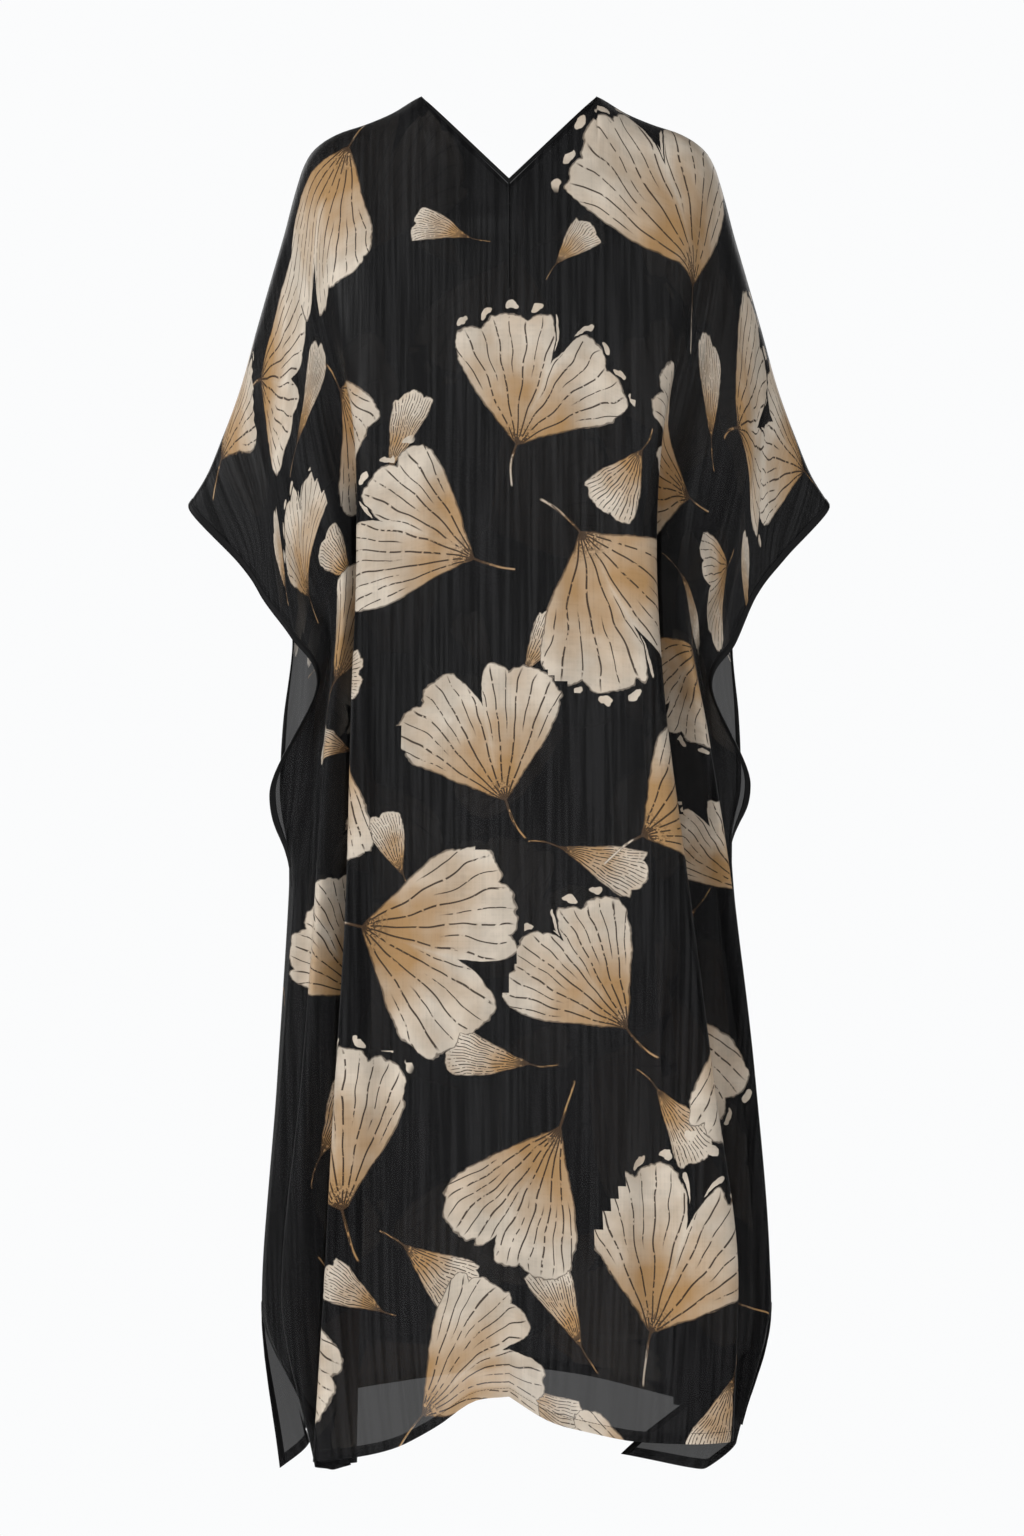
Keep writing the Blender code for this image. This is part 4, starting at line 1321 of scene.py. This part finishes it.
def make_tacks(sheet, looks):
    """The short bars of thread that hold the closure, joined to one piece."""
    middle = sheet.points.shape[1] // 2
    material = thread_material(looks)
    tacks = []
    for drop in TACK_DROPS:
        row = int(np.argmin(np.abs(sheet.down[:, middle] / MM - drop)))
        bpy.ops.object.select_all(action="DESELECT")
        bpy.ops.mesh.primitive_cylinder_add(vertices=10, radius=0.5, depth=1.0)
        tack = bpy.context.active_object
        tack.scale = TACK_SIZE
        tack.rotation_euler = (0.0, np.pi / 2, 0.0)
        tack.location = sheet.points[row, middle] + sheet.normals[row, middle] * TACK_LIFT
        bpy.ops.object.transform_apply(location=True, rotation=True, scale=True)
        edges = tack.modifiers.new("rounding", "BEVEL")
        edges.width = TACK_ROUNDING
        edges.segments = 2
        bpy.ops.object.modifier_apply(modifier=edges.name)
        tack.data.materials.append(material)
        tacks.append(tack)
    for tack in tacks:
        tack.select_set(True)
    bpy.ops.object.join()
    bpy.context.active_object.name = "closure_tacks"
    finish_sewing(bpy.context.active_object)


class KAFTAN_OT_tacks(bpy.types.Operator):
    """Press the closure seam below the V and sew the two small tacks that hold it"""

    bl_idname = "kaftan.tacks"
    bl_label = "Closure seam and tacks"

    def execute(self, context):
        sheet = cloth(True, context.scene.kaftan_sizes.creases)
        make_closure_seam(sheet, context.scene.kaftan_finish)
        make_tacks(sheet, context.scene.kaftan_finish)
        return {"FINISHED"}


def make_floor():
    """A large sheet of pale paper below the garment."""
    bpy.ops.object.select_all(action="DESELECT")
    bpy.ops.mesh.primitive_plane_add(size=FLOOR_SIZE, location=(0.0, 0.0, FLOOR_HEIGHT))
    floor = bpy.context.active_object
    floor.name = "studio_floor"
    material, tree, shader = new_material("floor_paper")
    grain = noise(tree, tree.nodes.new("ShaderNodeTexCoord").outputs["Object"], 30.0, 3.0)
    link(tree, blend(tree, grain, *PAPER_TONES), shader.inputs["Base Color"])
    shader.inputs["Roughness"].default_value = 0.85
    floor.data.materials.append(material)
    return floor


def make_lamp(scene, lamp):
    """A square area lamp that shines on a point."""
    light = bpy.data.lights.new(lamp.name, "AREA")
    light.size = lamp.size
    light.energy = lamp.power
    item = bpy.data.objects.new(lamp.name, light)
    item.location = lamp.place
    x, y, z = np.array(lamp.aim) - np.array(lamp.place)
    item.rotation_euler = (np.arccos(-z / np.linalg.norm((x, y, z))), 0.0, np.arctan2(y, x) - np.pi / 2)
    scene.collection.objects.link(item)
    return item


def make_world(scene):
    """A white backdrop that the camera sees, and that lights nothing."""
    world = bpy.data.worlds.new("studio")
    world.use_nodes = True
    background = world.node_tree.nodes["Background"]
    background.inputs["Color"].default_value = (*BACKDROP, 1.0)
    background.inputs["Strength"].default_value = 1.0
    scene.world = world
    world.cycles_visibility.diffuse = False
    world.cycles_visibility.glossy = False
    scene.view_settings.view_transform = "Standard"


def make_camera(scene):
    """A long lens that looks level at the front."""
    camera = bpy.data.cameras.new("camera")
    camera.lens = camera.sensor_width * CAMERA_DISTANCE / VIEW_HEIGHT
    camera.clip_end = 100.0
    item = bpy.data.objects.new("camera", camera)
    item.location = (VIEW_MIDDLE[0], -CAMERA_DISTANCE, VIEW_MIDDLE[1])
    item.rotation_euler = (np.pi / 2, 0.0, 0.0)
    scene.collection.objects.link(item)
    scene.camera = item


class KAFTAN_OT_stage(bpy.types.Operator):
    """Set up a pale floor, soft studio light and the camera"""

    bl_idname = "kaftan.stage"
    bl_label = "Stage"

    def execute(self, context):
        make_floor()
        [make_lamp(context.scene, lamp) for lamp in LAMPS]
        make_world(context.scene)
        make_camera(context.scene)
        return {"FINISHED"}


OPERATORS = (KAFTAN_OT_panels, KAFTAN_OT_hems, KAFTAN_OT_bindings, KAFTAN_OT_tacks, KAFTAN_OT_stage)


class KAFTAN_PT_parts(bpy.types.Panel):
    """Lists the kaftan's sizes, colours and pieces"""

    bl_idname = "KAFTAN_PT_parts"
    bl_label = "Kaftan"
    bl_space_type = "VIEW_3D"
    bl_region_type = "UI"
    bl_category = "Kaftan"

    def draw(self, context):
        for group in (context.scene.kaftan_sizes, context.scene.kaftan_finish):
            box = self.layout.box()
            for name in group.__annotations__:
                box.prop(group, name)
        for operator in OPERATORS:
            self.layout.operator(operator.bl_idname)


CLASSES = (KaftanSizes, KaftanFinish, *OPERATORS, KAFTAN_PT_parts)


def register():
    for entry in CLASSES:
        bpy.utils.register_class(entry)
    bpy.types.Scene.kaftan_sizes = bpy.props.PointerProperty(type=KaftanSizes)
    bpy.types.Scene.kaftan_finish = bpy.props.PointerProperty(type=KaftanFinish)


def unregister():
    del bpy.types.Scene.kaftan_finish
    del bpy.types.Scene.kaftan_sizes
    for entry in reversed(CLASSES):
        bpy.utils.unregister_class(entry)


def main():
    """Builds the whole kaftan and its stage."""
    register()
    bpy.ops.kaftan.panels()
    bpy.ops.kaftan.hems()
    bpy.ops.kaftan.bindings()
    bpy.ops.kaftan.tacks()
    bpy.ops.kaftan.stage()
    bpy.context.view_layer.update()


if __name__ == "__main__":
    main()
